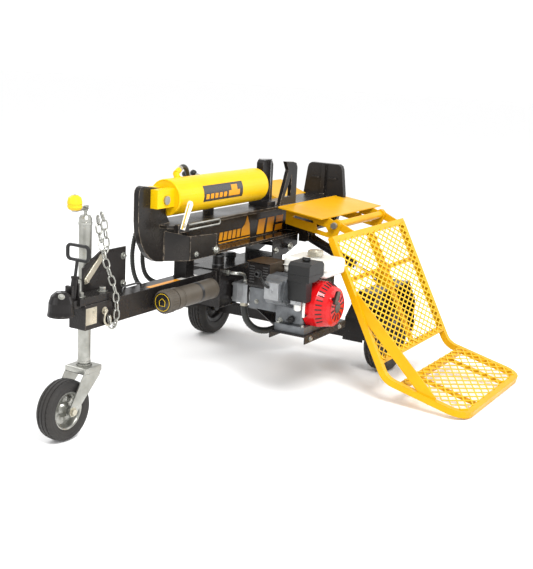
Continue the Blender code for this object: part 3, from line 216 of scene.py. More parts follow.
MATS = {
    "black_paint": surface("black_enamel", (0.009, 0.008, 0.008), (0.016, 0.014, 0.013), 0.26, 0.09,
        grain=260, bump=0.05, wear=(0.16, 0.14, 0.12), wear_amount=0.35, shine=0.22),
    "beam_paint": surface("beam_enamel", (0.009, 0.008, 0.008), (0.02, 0.017, 0.014), 0.24, 0.09, grain=240,
        bump=0.06, wear=(0.42, 0.34, 0.25), wear_amount=0.75, shine=0.22),
    "yellow_paint": surface("yellow_enamel", (0.68, 0.36, 0.003), (0.62, 0.31, 0.002), 0.34, 0.07,
        grain=300, bump=0.05, wear=(0.4, 0.17, 0.01), wear_amount=0.25, blotch=7, shine=0.16),
    # A lighter, more lemon copy of the same yellow paint as the tables: painted light standing in for the
    # bright light on the cylinder and the lifter mesh.
    "lit_yellow_paint": surface("lit_yellow_enamel", (0.74, 0.46, 0.003), (0.7, 0.41, 0.002), 0.3, 0.06, grain=300,
        bump=0.04, wear=(0.48, 0.24, 0.02), wear_amount=0.15, blotch=6, shine=0.16),
    "zinc": surface("zinc_plate", (0.4, 0.4, 0.37), (0.24, 0.24, 0.215), 0.3, 0.1, 0.85, blotch=14,
        grain=700, bump=0.07, stretch=(1, 1, 0.25), specks=(0.36, 0.33, 0.27)),
    "pale_zinc": surface("passivated_zinc", (0.5, 0.47, 0.38), (0.34, 0.31, 0.24), 0.32, 0.08, 0.7,
        blotch=18, grain=650, bump=0.06),
    "chrome": surface("hard_chrome", (0.78, 0.78, 0.78), (0.66, 0.66, 0.67), 0.1, 0.05, 1.0, grain=900,
        bump=0.02, stretch=(0.1, 1, 1)),
    "tyre_rubber": surface("tyre_rubber", (0.008, 0.008, 0.009), (0.016, 0.015, 0.015), 0.62, 0.14,
        grain=900, bump=0.35, dust=0.12, edge=0.0008, shine=0.3),
    "hose_rubber": surface("hose_rubber", (0.022, 0.023, 0.021), (0.038, 0.039, 0.036), 0.5, 0.12,
        grain=800, bump=0.2, edge=0.0006, shine=0.3),
    "cast_alloy": surface("cast_alloy", (0.19, 0.2, 0.21), (0.09, 0.095, 0.1), 0.46, 0.12, 0.75, blotch=16,
        grain=380, bump=0.45, specks=(0.18, 0.17, 0.16)),
    "pale_alloy": surface("machined_alloy", (0.38, 0.39, 0.4), (0.25, 0.255, 0.26), 0.38, 0.1, 0.8,
        blotch=18, grain=420, bump=0.25),
    "red_paint": surface("red_enamel", (0.56, 0.006, 0.008), (0.46, 0.004, 0.006), 0.24, 0.07, grain=300,
        bump=0.05, wear=(0.36, 0.05, 0.04), wear_amount=0.1, coat=0.1, shine=0.3),
    "white_paint": surface("cream_enamel", (0.74, 0.73, 0.69), (0.68, 0.67, 0.62), 0.28, 0.07, grain=280,
        bump=0.05, coat=0.1, shine=0.3),
    "black_plastic": surface("black_moulding", (0.009, 0.009, 0.009), (0.015, 0.015, 0.015), 0.42, 0.1,
        grain=950, bump=0.2, shine=0.3),
    "drab_plastic": surface("drab_moulding", (0.085, 0.072, 0.056), (0.066, 0.055, 0.042), 0.42, 0.08,
        grain=900, bump=0.2, blotch=10, shine=0.3),
    "yellow_plastic": surface("yellow_moulding", (0.76, 0.5, 0.01), (0.7, 0.44, 0.01), 0.42, 0.08,
        grain=900, bump=0.15, shine=0.25),
    "orange_film": surface("orange_decal", (0.72, 0.3, 0.006), (0.66, 0.25, 0.005), 0.3, 0.05, grain=500,
        bump=0.03, shine=0.25),
    "black_film": surface("black_decal", (0.01, 0.01, 0.01), (0.02, 0.019, 0.018), 0.25, 0.06, grain=500,
        bump=0.03),
    "white_film": surface("reflective_film", (0.7, 0.69, 0.66), (0.6, 0.59, 0.55), 0.3, 0.06, grain=1400,
        bump=0.2),
    "bronze": surface("heated_shield", (0.12, 0.085, 0.055), (0.06, 0.045, 0.03), 0.36, 0.1, 0.8, blotch=22,
        grain=500, bump=0.15),
    "dark_steel": surface("dark_steel", (0.1, 0.1, 0.1), (0.06, 0.06, 0.06), 0.35, 0.1, 0.8, blotch=20,
        grain=500, bump=0.15),
}
FLOOR = surface("pale_floor", (0.955, 0.955, 0.955), (0.945, 0.945, 0.945), 0.7, 0.05, grain=60, bump=0.01,
    shine=0.1)


# ---- pieces
def aligned(direction):
    return UP.rotation_difference(Vector(direction).normalized()).to_matrix()


class Piece:
    """One visible object made from closed shapes, all of one material and riding on one body."""

    def __init__(self, name, mat, body="frame"):
        self.name, self.mat, self.body, self.bm = name, mat, body, bmesh.new()

    def _faces(self, rings, loop=False):
        n = len(rings[0])
        pairs = list(zip(rings, rings[1:])) + ([(rings[-1], rings[0])] if loop else [])
        for one, two in pairs:
            for i in range(n):
                j = (i + 1) % n
                self.bm.faces.new((one[i], one[j], two[j], two[i]))
        if not loop:
            self.bm.faces.new(list(reversed(rings[0])))
            self.bm.faces.new(rings[-1])

    def spin(self, profile, start, direction, segments=48, ring=False, shape=None):
        """Revolve (radius, distance) points; shape(radius, distance, angle) may bend them."""
        turn = aligned(direction)
        rings = []
        for radius, dist in profile:
            radius = max(radius, 0.00005)
            points = []
            for i in range(segments):
                t = 2 * math.pi * i / segments
                r, d = shape(radius, dist, t) if shape else (radius, dist)
                points.append(self.bm.verts.new(Vector(start) + turn @ Vector((r * math.cos(t),
                    r * math.sin(t), d))))
            rings.append(points)
        self._faces(rings, loop=ring)
        return self

    def collar(self, inner, outer, height, start, direction, segments=48):
        return self.spin([(inner, 0), (outer, 0), (outer, height), (inner, height)], start, direction,
            segments, ring=True)

    def disc(self, radius, height, start, direction, segments=48):
        return self.spin([(0, 0), (radius, 0), (radius, height), (0, height)], start, direction, segments)

    def block(self, lo, hi):
        made = bmesh.ops.create_cube(self.bm, size=1.0)["verts"]
        lo, hi = Vector(lo), Vector(hi)
        bmesh.ops.scale(self.bm, vec=hi - lo, verts=made)
        bmesh.ops.translate(self.bm, vec=(hi + lo) / 2, verts=made)
        return self

    def brick(self, corners):
        """Six faces between four corners and the four opposite them."""
        verts = [self.bm.verts.new(p) for p in corners]
        for face in ((0, 1, 2, 3), (7, 6, 5, 4), (0, 4, 5, 1), (1, 5, 6, 2), (2, 6, 7, 3), (3, 7, 4, 0)):
            self.bm.faces.new([verts[i] for i in face])
        return self

    def plate(self, outline, thick):
        """Flat closed outline of 3-D points, thickened along its normal."""
        pts = [Vector(p) for p in outline]
        normal = Vector((0, 0, 0))
        for i, p in enumerate(pts):
            q = pts[(i + 1) % len(pts)]
            normal += (p - pts[0]).cross(q - pts[0])
        offset = normal.normalized() * thick
        low = [self.bm.verts.new(p) for p in pts]
        top = [self.bm.verts.new(p + offset) for p in pts]
        self.bm.faces.new(list(reversed(low)))
        self.bm.faces.new(top)
        for i in range(len(pts)):
            j = (i + 1) % len(pts)
            self.bm.faces.new((low[i], low[j], top[j], top[i]))
        return self

    def pipe(self, points, radius, sides=12, loop=False, flat=1.0, up=None):
        """Tube along points; radius may be a list, flat squeezes it across up."""
        pts = [Vector(p) for p in points]
        radii = radius if isinstance(radius, list) else [radius] * len(pts)
        rings = []
        across = None
        for i, p in enumerate(pts):
            before = pts[i - 1] if i or loop else p
            after = pts[(i + 1) % len(pts)] if i + 1 < len(pts) or loop else p
            tangent = (after - before).normalized()
            if across is None:
                across = Vector(up) if up else (UP if abs(tangent.z) < 0.9 else REAR)
            across = (across - tangent * across.dot(tangent)).normalized()
            other = tangent.cross(across)
            r, turns = radii[i], [2 * math.pi * k / sides for k in range(sides)]
            ring = [p + across * (r * math.cos(t)) + other * (r * flat * math.sin(t)) for t in turns]
            rings.append([self.bm.verts.new(v) for v in ring])
        self._faces(rings, loop=loop)
        return self

    def hexbolt(self, at, direction, across=0.013, height=0.006, washer=1.45):
        """Hex head with a chamfered top on a round washer."""
        thick = 0.0012
        r = across / 1.732
        self.disc(across * washer / 1.732, thick, at, direction, 20)
        top = Vector(at) + Vector(direction).normalized() * thick
        self.spin([(0, 0), (r, 0), (r, height * 0.85), (r * 0.86, height), (0, height)], top, direction, 6)
        return self

    def weld(self, start, end, radius):
        """Rippled weld bead between two points."""
        ripple = 0.0045
        a, b = Vector(start), Vector(end)
        count = max(3, int((b - a).length / ripple) * 2)
        points = [a.lerp(b, i / count) for i in range(count + 1)]
        radii = [radius * (0.82 + 0.22 * (i % 2) + 0.08 * RNG.random()) for i in range(count + 1)]
        return self.pipe(points, radii, 7)

    def done(self, bevel=0.0, angle=38, replaces=()):
        bmesh.ops.recalc_face_normals(self.bm, faces=self.bm.faces)
        mesh = bpy.data.meshes.new(self.name)
        self.bm.to_mesh(mesh)
        self.bm.free()
        mesh.shade_smooth()
        mesh.set_sharp_from_angle(angle=math.radians(angle))
        mesh.materials.append(MATS[self.mat])
        obj = bpy.data.objects.new(self.name, mesh)
        bpy.context.scene.collection.objects.link(obj)
        if bevel:
            mod = obj.modifiers.new("edges", "BEVEL")
            mod.width, mod.segments, mod.limit_method = bevel, 2, "ANGLE"
            mod.angle_limit = math.radians(40)
        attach(obj, self.body)
        if replaces:
            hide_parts(*replaces)
        return obj


def bolts(name, mat, rows, body="frame"):
    """Hex bolts; a row is a place, a direction, width across flats, height and washer ratio."""
    piece = Piece(name, mat, body)
    for at, direction, *size in rows:
        piece.hexbolt(M(*at), direction, *size)
    return piece.done(angle=25)


def welds(name, mat, rows, body="frame"):
    """Weld beads; a row is two machine-frame ends and the bead's radius."""
    piece = Piece(name, mat, body)
    for start, end, radius in rows:
        piece.weld(M(*start), M(*end), radius)
    return piece.done()


def mirrored(half):
    """A whole profile from one side's (radius, distance) points, listed from the edge to the middle."""
    return [(radius, -dist) for radius, dist in half] + list(reversed(half))


def smooth(points, step):
    """Catmull-Rom curve through points, read about every step metres."""
    pts = [Vector(p) for p in points]
    ext = [pts[0] * 2 - pts[1]] + pts + [pts[-1] * 2 - pts[-2]]
    out = []
    for i in range(1, len(ext) - 2):
        p0, p1, p2, p3 = ext[i - 1: i + 3]
        count = max(1, round((p2 - p1).length / step))
        for k in range(count):
            t = k / count
            out.append(0.5 * (2 * p1 + (p2 - p0) * t + (2 * p0 - 5 * p1 + 4 * p2 - p3) * t ** 2
                + (3 * p1 - p0 - 3 * p2 + p3) * t ** 3))
    out.append(pts[-1])
    return out


def path_length(points):
    return sum((b - a).length for a, b in zip(points, points[1:]))


# ---- hoses
HOSES = {
    "pressure_hose": [(-0.7455, 0.125, 0.862), (-0.8, 0.126, 0.862), (-0.9, 0.124, 0.848),
        (-1.03, 0.12, 0.806), (-1.12, 0.116, 0.73), (-1.158, 0.11, 0.62), (-1.134, 0.104, 0.52),
        (-1.05, 0.094, 0.458), (-0.93, 0.078, 0.446), (-0.84, 0.061, 0.444), (-0.7727, 0.06, 0.444)],
    "return_hose": [(-0.7455, 0.103, 0.838), (-0.8, 0.104, 0.838), (-0.89, 0.106, 0.822),
        (-1.01, 0.104, 0.772), (-1.082, 0.101, 0.7), (-1.106, 0.099, 0.612), (-1.084, 0.096, 0.536),
        (-1.01, 0.088, 0.493), (-0.9, 0.074, 0.484), (-0.83, 0.062, 0.484), (-0.7727, 0.061, 0.484)],
    "ram_hose": [(-0.9545, 0.0422, 0.9563), (-0.9253, 0.0507, 0.9653), (-0.8947, 0.0596, 0.9638),
        (-0.8665, 0.069, 0.9519), (-0.8441, 0.0775, 0.9311), (-0.8276, 0.085, 0.9052),
        (-0.8049, 0.094, 0.8846), (-0.7766, 0.1015, 0.8735), (-0.7461, 0.103, 0.871)],
    "suction_hose": [(-0.65, -0.108, 0.3842), (-0.65, -0.109, 0.35), (-0.64, -0.12, 0.296),
        (-0.605, -0.146, 0.256), (-0.555, -0.178, 0.246), (-0.505, -0.208, 0.266), (-0.476, -0.228, 0.312),
        (-0.474, -0.23, 0.345), (-0.474, -0.23, 0.3762)],
}


def hose(node, radius, rib, pitch):
    """Hose with a spiral guard; the rib height is inside the hose's own radius."""
    line = smooth([M(*p) for p in HOSES[node]], 0.042)
    fine = smooth(line, pitch / 4)
    radii = [radius - rib * (0.5 - 0.5 * math.cos(2 * math.pi * i / 4)) for i in range(len(fine))]
    radii[0] = radii[-1] = radius - rib
    piece = Piece(node + "_wrapped", "hose_rubber").pipe(fine, radii, 14)
    obj = piece.done(angle=80, replaces=(node,))
    ends = Piece(node + "_ferrules", "pale_zinc")
    for a, b in ((fine[0], fine[6]), (fine[-1], fine[-7])):
        way = (b - a).normalized()
        r = radius * 1.12
        ends.spin([(radius * 0.9, 0.001), (r, 0.001), (r * 1.04, 0.004), (r, 0.008), (r * 1.04, 0.012),
            (r, 0.016), (r * 1.02, 0.02), (radius * 0.9, 0.022)], a, way, 24, ring=True)
    ends.done()


hose("pressure_hose", 0.01, 0.0022, 0.0105)
hose("return_hose", 0.01, 0.0022, 0.0105)
hose("ram_hose", 0.01, 0.0018, 0.009)
hose("suction_hose", 0.015, 0.0008, 0.012)


# ---- CAD nodes that keep their own shape
NODE_MATS = {
    "black_paint": "tongue coupler_body hydraulic_tank axle_frame rear_bracket fender_near fender_far "
                   "foot_plate wedge valve_body engine_deck muffler lift_barrel",
    "beam_paint": "beam nose_plate",
    "yellow_paint": "table_near table_far lifter_frame",
    # the cylinder barrel takes the lighter copy of the yellow paint: painted light
    "lit_yellow_paint": "cylinder_barrel",
    "zinc": "jockey_clamp jockey_tube jockey_leg jockey_crank jockey_fork cylinder_pin hinge_rod "
            "ram_lever lift_lever u_handle",
    "pale_zinc": "clamp_lever fuel_cap",
    "chrome": "ram_rod lift_rod",
    "cast_alloy": "engine_block",
    "pale_alloy": "pump",
    "red_paint": "fan_cover",
    "white_paint": "fuel_tank tag_lever throttle_lever",
    "black_plastic": "coupler_plunger filler_cap air_cleaner oil_cap recoil_grip",
    "drab_plastic": "canister canister_cap",
    "yellow_plastic": "crank_knob",
}
for mat_name, names in NODE_MATS.items():
    for node_name in names.split():
        node_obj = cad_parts[node_name]
        node_obj.data.materials.clear()
        node_obj.data.materials.append(MATS[mat_name])

# ---- wheels
JX, JY = -1.488, 0.068
WHEEL_X, JOCKEY_R = JX - 0.112, 0.115
ROAD_R, HALF_TRACK = 0.15, 0.5


def tyre(name, node, body, centre, outer, profile, lugs, depth):
    """Tyre whose shoulders are cut by cross grooves."""
    segments = lugs * 4

    def groove(radius, dist, angle):
        step = int(round(angle / (2 * math.pi) * segments)) % 4
        if radius > outer * 0.955 and abs(dist) > 0.01 and step == 0:
            return radius - depth, dist
        return radius, dist

    return Piece(name, "tyre_rubber", body).spin(profile, centre, FAR, segments, ring=True,
        shape=groove).done(angle=30, replaces=(node,))


tyre("jockey_tyre_tread", "jockey_tyre", "jockey_wheel", M(WHEEL_X, JY, JOCKEY_R), JOCKEY_R,
    mirrored([(0.0723, 0.027), (0.076, 0.0305), (0.084, 0.0325), (0.09, 0.033), (0.092, 0.0345),
        (0.098, 0.035), (0.106, 0.0335), (0.1115, 0.027), (0.1135, 0.019), (0.1105, 0.018), (0.1105, 0.015),
        (0.114, 0.014), (0.115, 0.003), (0.112, 0.0018)]), 34, 0.0022)


def pressed(inner, outer, depth, count):
    """A bend for spin: hollows pressed into a disc between two radii."""
    def shape(radius, dist, angle):
        if inner < radius < outer:
            dist += depth * (0.5 + 0.5 * math.cos(count * angle))
        return radius, dist
    return shape


def ribbed(height, segments, period, raised, above=0.0):
    """A bend for spin: in every period of segments the ones listed in raised stand out by height."""
    def shape(radius, dist, angle):
        if radius > above and int(angle / (2 * math.pi) * segments + 0.5) % period in raised:
            radius += height
        return radius, dist
    return shape


Piece("jockey_wheel_disc", "zinc", "jockey_wheel").spin([(0.0083, -0.0295), (0.0185, -0.0295),
    (0.019, -0.028), (0.019, -0.02), (0.026, -0.008), (0.03, -0.006), (0.04, -0.0085), (0.05, -0.0085),
    (0.057, -0.006), (0.061, -0.012), (0.064, -0.022), (0.068, -0.0255), (0.0718, -0.0262),
    (0.0722, -0.025), (0.07, -0.023), (0.069, 0.02), (0.0722, 0.025), (0.0718, 0.0262), (0.068, 0.0255),
    (0.064, 0.022), (0.06, 0.002), (0.057, -0.002), (0.05, -0.0045), (0.04, -0.0045), (0.03, -0.002),
    (0.026, 0.002), (0.019, 0.02), (0.019, 0.028), (0.0185, 0.0295), (0.0083, 0.0295)],
    M(WHEEL_X, JY, JOCKEY_R), FAR, 80, ring=True, shape=pressed(0.026, 0.06, 0.0045, 5)).done(angle=50,
    replaces=("jockey_rim",))
bolts("jockey_axle_nuts", "pale_zinc", [
    ((WHEEL_X, JY + side * 0.0475, JOCKEY_R), (0, side, 0), 0.024, 0.0095, 1.3) for side in (-1, 1)
], "jockey_fork")

for side, word in ((-1, "near"), (1, "far")):
    hub = M(0, side * HALF_TRACK, ROAD_R)
    tyre(word + "_tyre_tread", word + "_tyre", word + "_wheel", hub, ROAD_R,
        mirrored([(0.0903, 0.036), (0.093, 0.0405), (0.1, 0.0425), (0.108, 0.046), (0.114, 0.0485),
            (0.116, 0.05), (0.125, 0.05), (0.135, 0.048), (0.143, 0.042), (0.1475, 0.034), (0.1485, 0.029),
            (0.144, 0.028), (0.144, 0.024), (0.149, 0.023), (0.1498, 0.011), (0.145, 0.01), (0.145, 0.006),
            (0.15, 0.005)]), 36, 0.004)

    Piece(word + "_wheel_disc", "black_paint", word + "_wheel").spin([(0.0135, -0.044), (0.029, -0.044),
        (0.03, -0.042), (0.03, -0.023), (0.034, -0.019), (0.047, -0.019), (0.06, -0.014), (0.07, -0.028),
        (0.074, -0.031), (0.089, -0.035), (0.09, -0.033), (0.087, -0.029), (0.086, 0.029), (0.09, 0.033),
        (0.089, 0.035), (0.074, 0.031), (0.07, 0.028), (0.06, 0.006), (0.047, 0.002), (0.034, 0.0),
        (0.03, 0.004), (0.03, 0.04), (0.029, 0.042), (0.0135, 0.042)], hub, (0, side, 0), 64, ring=True,
        shape=pressed(0.036, 0.058, -0.004, 4)).done(angle=50, replaces=(word + "_rim",))
    piece = Piece(word + "_hub_trim", "pale_zinc")
    piece.spin([(0.0, 0.0), (0.0195, 0.0), (0.0195, 0.003), (0.012, 0.0035), (0.0, 0.0035)],
        M(0, side * 0.5445, ROAD_R), (0, side, 0), 32)
    piece.hexbolt(M(0, side * 0.548, ROAD_R), (0, side, 0), 0.022, 0.0075, 1.1)
    piece.done(angle=30)

# ---- drawbar and coupler
bolts("coupler_bolts", "zinc", [
    ((-1.592, 0, 0.5521), UP, 0.0235, 0.015, 1.5),
    ((-1.471, 0, 0.5521), UP, 0.0235, 0.015, 1.5),
    ((-1.712, -0.0215, 0.5755), (-0.42, -0.55, 0.72), 0.014, 0.006),
])
piece = Piece("coupler_sleeve_guard", "black_paint")
piece.block(M(-1.618, -0.016, 0.5522), M(-1.611, 0.016, 0.606))
piece.block(M(-1.653, -0.0155, 0.548), M(-1.6405, 0.0155, 0.6))
piece.collar(0.0129, 0.015, 0.01, M(-1.619, 0.0, 0.6205), (0.1644, 0, 0.9864), 32)
piece.done(0.0012)
Piece("coupler_lip", "black_paint").spin([(0.029, 0.0005), (0.047, 0.0005), (0.0487, 0.002),
    (0.0487, 0.007), (0.047, 0.0085), (0.0462, 0.0085), (0.0462, 0.003), (0.029, 0.003)],
    M(-1.69, 0, 0.4995), UP, 48, ring=True).done()
bolts("drawbar_plate_bolts", "zinc", [
    ((-1.306, 0.0369, 0.655), NEAR, 0.017, 0.01),
    ((-1.306, 0.0369, 0.548), NEAR, 0.017, 0.01),
    ((-1.42, 0.0369, 0.665), NEAR, 0.013, 0.008),
])
piece = Piece("drawbar_strip", "pale_zinc")
piece.block(M(-1.604, -0.0398, 0.452), M(-1.545, -0.0382, 0.514))
piece.hexbolt(M(-1.56, -0.0398, 0.497), NEAR, 0.012, 0.005)
piece.done(0.0004)
Piece("drawbar_loop", "dark_steel").pipe(smooth([M(-1.362, -0.006, 0.5275), M(-1.36, -0.006, 0.54),
    M(-1.35, -0.006, 0.548), M(-1.33, -0.006, 0.5495), M(-1.28, -0.006, 0.5495), M(-1.258, -0.006, 0.548),
    M(-1.248, -0.006, 0.54), M(-1.246, -0.006, 0.5275)], 0.006), 0.0042, 12).done()
strip = Piece("drawbar_reflector_light", "white_film")
marks = Piece("drawbar_reflector_dark", "orange_film")
for i in range(8):
    x0 = -1.225 + i * 0.04
    (strip if i > 4 else marks).plate([M(x0, -0.034, 0.5263), M(x0 + 0.0395, -0.034, 0.5263),
        M(x0 + 0.0395, -0.012, 0.5263), M(x0, -0.012, 0.5263)], FILM)
strip.done()
marks.done()
welds("drawbar_welds", "black_paint", [
    ((-1.285, 0.0385, 0.5275), (-1.535, 0.0385, 0.5275), 0.0032),
    ((-0.988, -0.03, 0.5275), (-0.927, -0.03, 0.5275), 0.0035),
    ((-0.987, -0.031, 0.5275), (-0.987, 0.031, 0.5275), 0.0035),
    ((-0.988, -0.031, 0.6105), (-0.927, -0.031, 0.6105), 0.0035),
    ((-0.7745, -0.038, 0.438), (-0.7745, -0.038, 0.524), 0.0035),
])


def chain(name, route):
    """Long links along a route, each turned a quarter turn from its neighbour."""
    pitch, wire, half_width = 0.031, 0.0034, 0.0108
    fine = smooth([M(*p) for p in route], 0.002)
    total = path_length(fine)
    count = max(2, int(total / pitch))
    piece = Piece(name, "zinc")
    travelled, at, stops = 0.0, 0, []
    for i in range(count + 1):
        want = i * total / count
        while at + 2 < len(fine) and travelled + (fine[at + 1] - fine[at]).length < want:
            travelled += (fine[at + 1] - fine[at]).length
            at += 1
        share = (want - travelled) / max(1e-6, (fine[at + 1] - fine[at]).length)
        stops.append(fine[at].lerp(fine[at + 1], min(1.0, share)))
    for i, (a, b) in enumerate(zip(stops, stops[1:])):
        way = (b - a).normalized()
        flat = way.cross(Vector((0.45, 1.0, 0.2))).normalized()
        side = flat if i % 2 else way.cross(flat).normalized()
        side = (side + (way.cross(side)) * (0.25 * (RNG.random() - 0.5))).normalized()
        mid, reach = (a + b) / 2, (b - a).length / 2 + wire * 0.5
        loop = []
        for end in (1, -1):
            for k in range(7):
                t = math.radians(90 - 30 * k)
                along = reach - half_width + half_width * math.cos(t)
                loop.append(mid + way * end * along + side * (half_width * math.sin(t) * end))
        piece.pipe(loop, wire, 8, loop=True, up=way.cross(side))
    return piece


CHAIN = [(-1.446, 0.046, 0.822), (-1.452, 0.034, 0.77), (-1.462, 0.01, 0.715), (-1.47, -0.014, 0.665),
         (-1.468, -0.036, 0.61), (-1.458, -0.05, 0.56), (-1.452, -0.053, 0.505), (-1.452, -0.053, 0.45),
         (-1.466, -0.053, 0.42), (-1.486, -0.053, 0.436), (-1.494, -0.05, 0.47)]
chain("safety_chain_links", CHAIN).done(angle=80, replaces=("safety_chain",))
chain("safety_chain_fold", [(-1.446, 0.03, 0.836), (-1.438, 0.022, 0.8), (-1.43, 0.02, 0.745),
    (-1.436, 0.01, 0.7), (-1.452, 0.002, 0.69)]).done(angle=80)
piece = Piece("safety_chain_hook", "pale_zinc")
piece.pipe(smooth([M(-1.496, -0.047, 0.49), M(-1.512, -0.05, 0.478), M(-1.517, -0.051, 0.458),
    M(-1.506, -0.051, 0.44), M(-1.489, -0.051, 0.438), M(-1.48, -0.05, 0.452), M(-1.484, -0.048, 0.47)],
    0.006), 0.0042, 12)
piece.hexbolt(M(-1.502, -0.0386, 0.49), NEAR, 0.017, 0.009)
piece.done(angle=40)

# ---- jockey wheel trim
piece = Piece("jockey_tube_collar", "zinc")
piece.spin([(0.0242, 0.0), (0.0258, 0.001), (0.0258, 0.012), (0.0242, 0.013)], M(JX, JY, 0.79), UP, 40,
    ring=True)
piece.spin([(0.0242, 0.0), (0.0252, 0.001), (0.0252, 0.006), (0.0242, 0.007)], M(JX, JY, 0.272), UP, 40,
    ring=True)
piece.done()
bolts("jockey_clamp_bolts", "pale_zinc", [
    ((JX + side * 0.0362, 0.092, z), (side, 0, 0), 0.013, 0.007) for side in (-1, 1) for z in (0.574, 0.546)
])
Piece("jockey_crank_cap", "zinc", "jockey_crank").spin([(0, 0.0), (0.012, 0.0), (0.013, 0.001),
    (0.013, 0.003), (0.011, 0.0045), (0, 0.0045)], M(JX, JY, 0.8572), UP, 32).done()
welds("jockey_fork_welds", "zinc", [
    ((JX - 0.046, JY + y, 0.24), (JX + 0.04, JY + y, 0.24), 0.0022) for y in (-0.0482, 0.0482)
], "jockey_fork")
piece = Piece("crank_knob_rings", "yellow_plastic", "crank_knob")
piece.spin([(0.0255, 0.007), (0.0268, 0.01), (0.0268, 0.014), (0.026, 0.016)],
    M(JX - 0.075, JY - 0.015, 0.8546), UP, 40, ring=True)
piece.spin([(0.0262, 0.02), (0.027, 0.023), (0.0268, 0.028), (0.026, 0.03)],
    M(JX - 0.075, JY - 0.015, 0.8546), UP, 40, ring=True)
piece.done()

bolts("clamp_lever_stud", "pale_zinc", [((-1.52, 0.0304, 0.592), NEAR, 0.013, 0.006)], "clamp_lever")

# ---- canister
CAN = (-0.09, 0.477)
ribs = Piece("canister_ribs", "drab_plastic")
for x in (-1.126, -1.118, -0.9, -0.892):
    ribs.spin([(0.0413, 0.0), (0.043, 0.0008), (0.043, 0.003), (0.0413, 0.0038)], M(x, *CAN), REAR, 48,
        ring=True)
ribs.done()
grip_ribs = Piece("canister_cap_grips", "drab_plastic", "canister_cap")
for k in range(28):
    t = 2 * math.pi * k / 28
    y, z = CAN[0] + 0.0452 * math.cos(t), CAN[1] + 0.0452 * math.sin(t)
    grip_ribs.pipe([M(-1.214, y, z), M(-1.172, y, z)], 0.0016, 8)
grip_ribs.done(angle=50)
piece = Piece("canister_cap_ring", "yellow_plastic", "canister_cap")
piece.spin([(0.0325, -0.0014), (0.0338, -0.0016), (0.0345, -0.0014), (0.0345, 0.0002), (0.0325, 0.0002)],
    M(-1.2205, *CAN), REAR, 48, ring=True)
piece.pipe([M(-1.2222, CAN[0] + y, CAN[1] + z) for y, z in ((-0.012, -0.014), (0.012, -0.014),
    (0.014, 0.004), (0.0, 0.016), (-0.014, 0.004))], 0.0011, 6, loop=True)
piece.done()
Piece("canister_cap_badge", "black_film", "canister_cap").spin([(0.0, -0.0012), (0.037, -0.0012),
    (0.0385, -0.0006), (0.0385, 0.0004), (0.0, 0.0004)], M(-1.2205, *CAN), REAR, 48).done()
Piece("canister_strap", "dark_steel").collar(0.0418, 0.0428, 0.016, M(-1.006, *CAN), REAR, 48).done()

# ---- tank, bracket, fenders
welds("tank_welds", "black_paint", [
    ((-0.771, -0.055, 0.53), (-0.25, -0.055, 0.53), 0.003),
    ((-0.771, -0.055, 0.367), (-0.545, -0.055, 0.367), 0.003),
    ((-0.7715, -0.055, 0.368), (-0.7715, -0.055, 0.529), 0.003),
    ((-0.25, -0.055, 0.368), (-0.25, -0.055, 0.529), 0.003),
    ((-0.54, -0.056, 0.505), (-0.4, -0.056, 0.505), 0.0032),
    ((-0.54, -0.41, 0.505), (-0.4, -0.41, 0.505), 0.003),
    ((-0.7715, 0.085, 0.368), (-0.7715, 0.085, 0.529), 0.003),
])
piece = Piece("filter_cap", "dark_steel")
piece.spin([(0.0, 0.0), (0.0275, 0.0), (0.0285, 0.0015), (0.0285, 0.008), (0.027, 0.01), (0.015, 0.011),
    (0.015, 0.017), (0.0, 0.017)], M(-0.735, -0.02, 0.5822), UP, 40)
piece.spin([(0.0262, 0.0), (0.0272, 0.0005), (0.0272, 0.005), (0.0262, 0.0055)], M(-0.735, -0.02, 0.545),
    UP, 40, ring=True)
piece.done()
Piece("filler_cap_ribs", "black_plastic", "filler_cap").spin([(0.0205, 0.0215), (0.0235, 0.0195),
    (0.0246, 0.017), (0.0246, 0.003), (0.0238, 0.0015), (0.0238, 0.018)], M(-0.56, 0.03, 0.5453), UP, 72,
    ring=True, shape=ribbed(0.0005, 72, 2, (1,))).done()
bolts("bracket_bolts", "zinc", [
    ((-0.245, -0.0925, 0.569), NEAR, 0.024, 0.01),
    ((-0.245, 0.0925, 0.569), FAR, 0.024, 0.01),
    ((-0.34, -0.0742, 0.56), NEAR, 0.017, 0.009),
])
for side, word in ((-1, "near"), (1, "far")):
    bolts(word + "_fender_bolts", "pale_zinc", [
        ((x, side * 0.4266, 0.345), (0, -side, 0), 0.016, 0.008) for x in (-0.06, 0.06)
    ])
    edge = ((-0.315, 0.2), (-0.3, 0.299), (-0.19, 0.3985), (0.18, 0.3985), (0.269, 0.299), (0.284, 0.131))
    bead = [M(x, side * 0.524, z) for x, z in edge]
    Piece(word + "_fender_bead", "black_paint").pipe(bead, 0.0022, 8).done()

# ---- beam trim
welds("beam_welds", "beam_paint", [
    ((-0.33, -0.0755, 0.764), (-0.18, -0.0755, 0.764), 0.0028),
    ((-0.33, -0.0548, 0.764), (-0.18, -0.0548, 0.764), 0.0028),
    ((-0.33, 0.0755, 0.764), (-0.18, 0.0755, 0.764), 0.0028),
    ((0.235, -0.074, 0.614), (0.235, -0.074, 0.74), 0.0026),
    ((-1.03, -0.074, 0.75), (-1.03, -0.06, 0.763), 0.0028),
    ((0.219, -0.0112, 0.764), (0.219, 0.0112, 0.764), 0.0024),
])
bolts("nose_latch_bolt", "zinc", [
    ((-0.849, -0.0815, 0.633), NEAR, 0.02, 0.011),
    ((-0.99, -0.0815, 0.633), NEAR, 0.014, 0.008),
])
welds("nose_welds", "beam_paint", [
    ((-1.118, -0.0125, 0.616), (-1.118, -0.0125, 0.735), 0.003),
    ((-1.036, -0.0828, 0.614), (-1.036, -0.0828, 0.709), 0.0026),
    ((-1.14, -0.0128, 0.7625), (-1.085, -0.0128, 0.7625), 0.0028),
    ((-1.14, 0.0128, 0.7625), (-1.085, 0.0128, 0.7625), 0.0028),
])

# Plain coloured shapes stand where the real machine carries its maker's lettering.
WEB_Y = -0.0054


